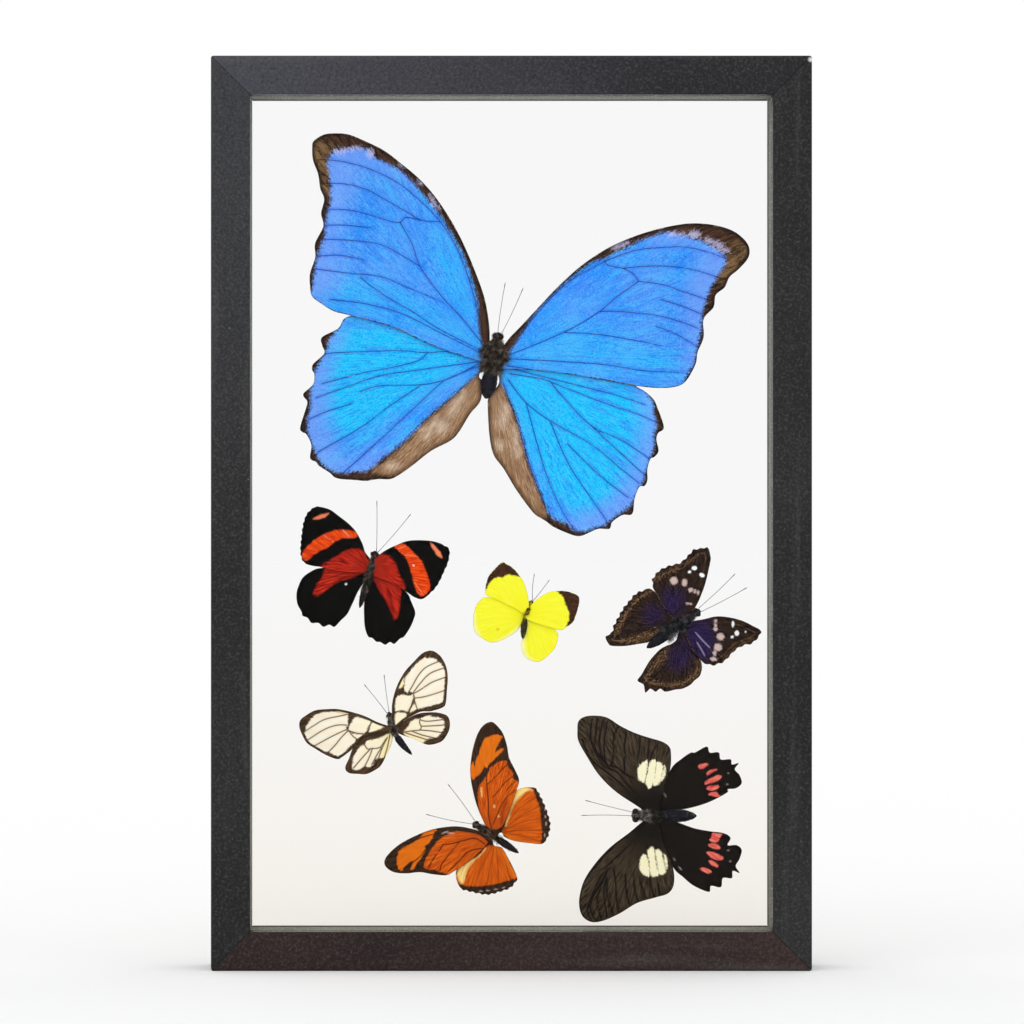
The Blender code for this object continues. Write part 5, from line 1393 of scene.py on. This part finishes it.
# A cattleheart: black-brown wings with paler stripes between the veins of the forewings, four
# cream patches on each, a row of rose marks on each hindwing, and a stout blue-black body.
cattleheart = Insect(
    "cattleheart", (47.4, 50.2), (-7.1, 0.3), (15.0, 0.1), (2.0, 2.5, 2.3),
    deep=0.85, rise=0.03,
)
CATTLEHEART_WINGS = {
    "left_forewing": {
        "outline": """-1,-0.2 -7.7,-5.5 -14,-10.3 -19,-15.7 -22.7,-21.3 -24.3,-26.7 -24.3,-30.7
            -23,-33.7 -20,-35.3 -16,-34.7 -10.7,-32.3 -5,-28.9 1,-27.1 5.3,-25.7 7.2,-22.7
            7,-17.3 4.3,-9.7 2,-1.3""",
        "cream": """639,864 640,857 643,854 646,855 648,863 649,875 645,875 641,872 639,868 /
            647,850 649,848 652,846 654,850 655,859 657,868 658,874 654,876 651,875 649,866
            648,857 / 655,850 658,849 661,852 663,860 665,868 665,872 661,874 658,873 657,866
            656,857 / 664,853 666,858 667,863 667,869 665,867 664,860""",
        "veins": """590,918 587,908 595,887 603,872 / 595,919 590,905 597,888 605,874 / 601,918
            597,902 600,886 606,870 / 607,916 604,900 604,886 607,868 / 613,914 607,896 607,879
            / 618,911 616,896 615,879 613,868 / 629,904 626,891 625,874 / 638,901 634,888
            633,870 / 646,899 640,882 639,875 / 654,897 650,884 649,876 / 660,895 657,882 /
            582,884 594,867 614,845 634,829 648,820 / 604,868 625,848 639,834 654,821""",
    },
    "right_forewing": {
        "outline": """-1,0.2 -4.4,3 -12,8.1 -17.7,13.7 -22,20.3 -24.7,25.3 -25,28.7 -24.7,31.7
            -22.7,33.3 -19,33.7 -15,33 -10.7,30.3 -6,28 -1,26.3 3.3,25 5.7,23.3 6.3,20.7 6,15.7
            4,8.7 2,1.3""",
        "cream": """637,771 638,767 642,762 647,760 647,764 646,773 645,779 642,782 638,778 /
            649,763 652,760 656,760 655,769 654,780 652,785 649,788 646,785 645,780 647,773
            648,767 / 656,762 659,762 662,764 662,770 661,778 659,783 656,785 653,784 654,778
            655,769 / 664,765 665,769 665,774 663,779 661,781 662,776 663,770""",
        "veins": """592,718 590,735 595,752 604,767 / 597,718 595,735 595,748 603,762 / 603,719
            599,738 601,755 606,764 / 607,721 604,738 604,755 607,765 / 617,727 613,739 613,755
            611,764 / 626,733 624,744 624,760 624,773 / 640,737 639,747 637,759 / 649,739
            648,750 647,760 / 658,742 652,752 650,760 / 582,739 591,759 614,778 634,798 647,810
            / 606,767 618,773 631,789 648,809 / 608,765 617,767 624,773 634,778""",
    },
    "left_hindwing": {
        "outline": """7,-17 10.3,-20.3 14,-23.3 19,-25.3 19.7,-23.3 23,-23.7 23.7,-20.7
            26.7,-20.7 27,-18.3 29.3,-19 28,-16.7 29.3,-14.3 30,-11.3 28.3,-9.7 25.3,-9.7
            26.3,-7.3 24,-5.7 19,-5 14,-4 9,-2.2 5.3,-1.1 2.4,-0.9 2.7,-7.3""",
        "pink": """712,833 717,833 722,834 720,837 718,841 714,842 709,840 711,837 / 708,844
            712,843 717,844 720,847 718,849 713,848 709,846 / 706,852 710,851 716,853 721,855
            723,858 720,860 715,859 710,857 707,854 / 708,860 712,860 716,863 718,865 717,867
            712,865 709,862 / 700,868 703,867 707,868 711,871 709,873 705,872 701,870""",
        "grey": (
            ellipse(728, 850, 3, 1.6), ellipse(730, 861, 2.4, 1.6),
            ellipse(680, 868, 5, 1.6, 50), ellipse(674, 859, 4, 1.4, 55),
        ),
        "veins": """660,822 684,830 712,836 730,838 / 660,823 690,840 730,852 / 660,824 690,850
            724,868 / 660,826 684,856 704,880 / 660,828 676,856 690,880""",
    },
    "right_hindwing": {
        "outline": """6.3,15.7 10,19.3 13,21.3 14.3,21.3 18.3,23.3 19.3,21.3 22.3,21.3 23,19
            26.3,19 26.7,17.3 29,17.7 27.7,15.7 29.3,13.7 30,11 28,9.3 25.3,9 25.3,8 21.3,5.7
            17.3,4 12.3,2.6 5.3,1.4 2.4,0.9 2.7,6.3""",
        "pink": """698,766 700,764 705,763 708,764 706,766 701,769 699,768 / 706,773 708,771
            713,769 717,769 714,771 710,773 707,775 / 704,782 707,780 712,777 717,775 721,775
            721,777 718,780 713,782 707,784 705,784 / 706,788 708,786 714,785 718,785 718,788
            714,790 708,790 / 708,794 711,792 717,792 718,794 720,796 717,797 713,796 709,795""",
        "grey": (
            ellipse(728, 773, 2.4, 1.6), ellipse(727, 784, 2.4, 1.6),
            ellipse(665, 795, 6, 1.4, 60),
        ),
        "veins": """660,812 684,800 712,794 730,788 / 660,811 690,790 728,776 / 660,810 690,782
            716,762 / 660,808 684,778 700,756 / 660,806 674,780 686,756""",
    },
}
scales = Scales("black and cream scales", 0.08)
ground = scales.mix((scales.streak - 0.34) * 2.4, (12, 9, 8), (36, 29, 25))
stripe = scales.mix((scales.streak - 0.4) * 5.0, (34, 27, 20), (82, 70, 54))
far = ((scales.reach - 7.0) / 12.0).clamp()
field = (scales.vein / 0.3 - 0.5).clamp() * scales.field("fore") * far
upper = scales.mix(field * 0.9, ground, stripe)
upper = scales.mix((1.0 - scales.rim / 0.7).clamp() * 0.7, upper, (16, 13, 12))
upper = scales.mix(scales.line(0.1, 0.7), upper, (12, 10, 9))
# Rose marks in their own pink, their paler streaks painted glints of light.
rose = scales.mix((scales.streak - 0.34) * 3.0, (220, 52, 60), (255, 150, 130))
upper = scales.mix(scales.ink("pink", 0.35, 0.6), upper, rose)
upper = scales.mix(scales.ink("grey", 0.35, 0.2) * 0.7, upper, (160, 146, 140))
ivory = scales.mix((scales.streak - 0.3) * 2.0, (252, 246, 196), (255, 255, 236))
upper = scales.mix(scales.ink("cream", 0.45, 1.2), upper, ivory)
below = scales.mix(0.3, upper, (120, 104, 88))
scales.both_faces(upper, below, 0.6)
cattleheart.dress(
    CATTLEHEART_WINGS, scales, ("cream", "pink", "grey"), across=34, rim=300, vein_radius=0.11
)
cattleheart.body(
    chitin("blue-black body", (30, 29, 30), (20, 22, 32), (124, 120, 116), saddle=(18, 15, 15)),
    (((-6.2, 1.3), (-22.5, 5.4), -0.1), ((-6.6, 0.1), (-23.8, 0.3), 0.2)),
    ((1000, 0.05, 0.48, 1.0, 0.5), (240, 0.46, 0.95, 0.5, 0.9)),
)

# The specimens stand before a plain white studio sweep, lit softly from all round, with one
# broad soft light from above and before them, a little from the left. The camera is level with
# the frame's middle and a little to the left of it.
FLOOR_REACH = 12.0
WHITE, FLOOR_GREY = (1.0, 1.0, 1.0, 1.0), (0.922, 0.922, 0.922, 1.0)
LIGHT_STRENGTH, LIGHT_SPREAD = 0.5, math.radians(60.0)
LIGHT_TURN = (math.radians(58.0), 0.0, math.radians(-20.0))
CAMERA_AT, LEVEL = (-0.039, -1.512, 0.1515), (math.pi / 2, 0.0, 0.0)
SENSOR, FOCAL_LENGTH = 36.0, 159.4
SHIFT_X, SHIFT_Y = 0.1156, 0.0012
NEAREST, FARTHEST = 0.05, 60.0


def in_studio(name, data):
    """A light, a camera or the floor, put into the scene."""
    thing = bpy.data.objects.new(name, data)
    bpy.context.scene.collection.objects.link(thing)
    return thing


world = bpy.data.worlds.new("studio")
bpy.context.scene.world = world
world.use_nodes = True
world.node_tree.nodes["Background"].inputs["Color"].default_value = WHITE

floor_mesh = bpy.data.meshes.new("studio floor")
corners = [(x * FLOOR_REACH, y * FLOOR_REACH, 0) for x, y in ((-1, -1), (1, -1), (1, 1), (-1, 1))]
floor_mesh.from_pydata(corners, [], [(0, 1, 2, 3)])
floor_finish = Finish(
    "pale floor", {"Base Color": FLOOR_GREY, "Roughness": 1.0, "Specular IOR Level": 0.0}
)
floor_mesh.materials.append(floor_finish.material)
in_studio("studio floor", floor_mesh)

lamp = bpy.data.lights.new("broad soft light", "SUN")
lamp.energy, lamp.angle = LIGHT_STRENGTH, LIGHT_SPREAD
broad_light = in_studio("broad soft light", lamp)
broad_light.rotation_euler = LIGHT_TURN

lens = bpy.data.cameras.new("camera")
lens.sensor_width, lens.lens = SENSOR, FOCAL_LENGTH
lens.shift_x, lens.shift_y = SHIFT_X, SHIFT_Y
lens.clip_start, lens.clip_end = NEAREST, FARTHEST
camera = in_studio("camera", lens)
camera.location, camera.rotation_euler = CAMERA_AT, LEVEL
bpy.context.scene.camera = camera
bpy.context.scene.view_settings.view_transform = "Standard"
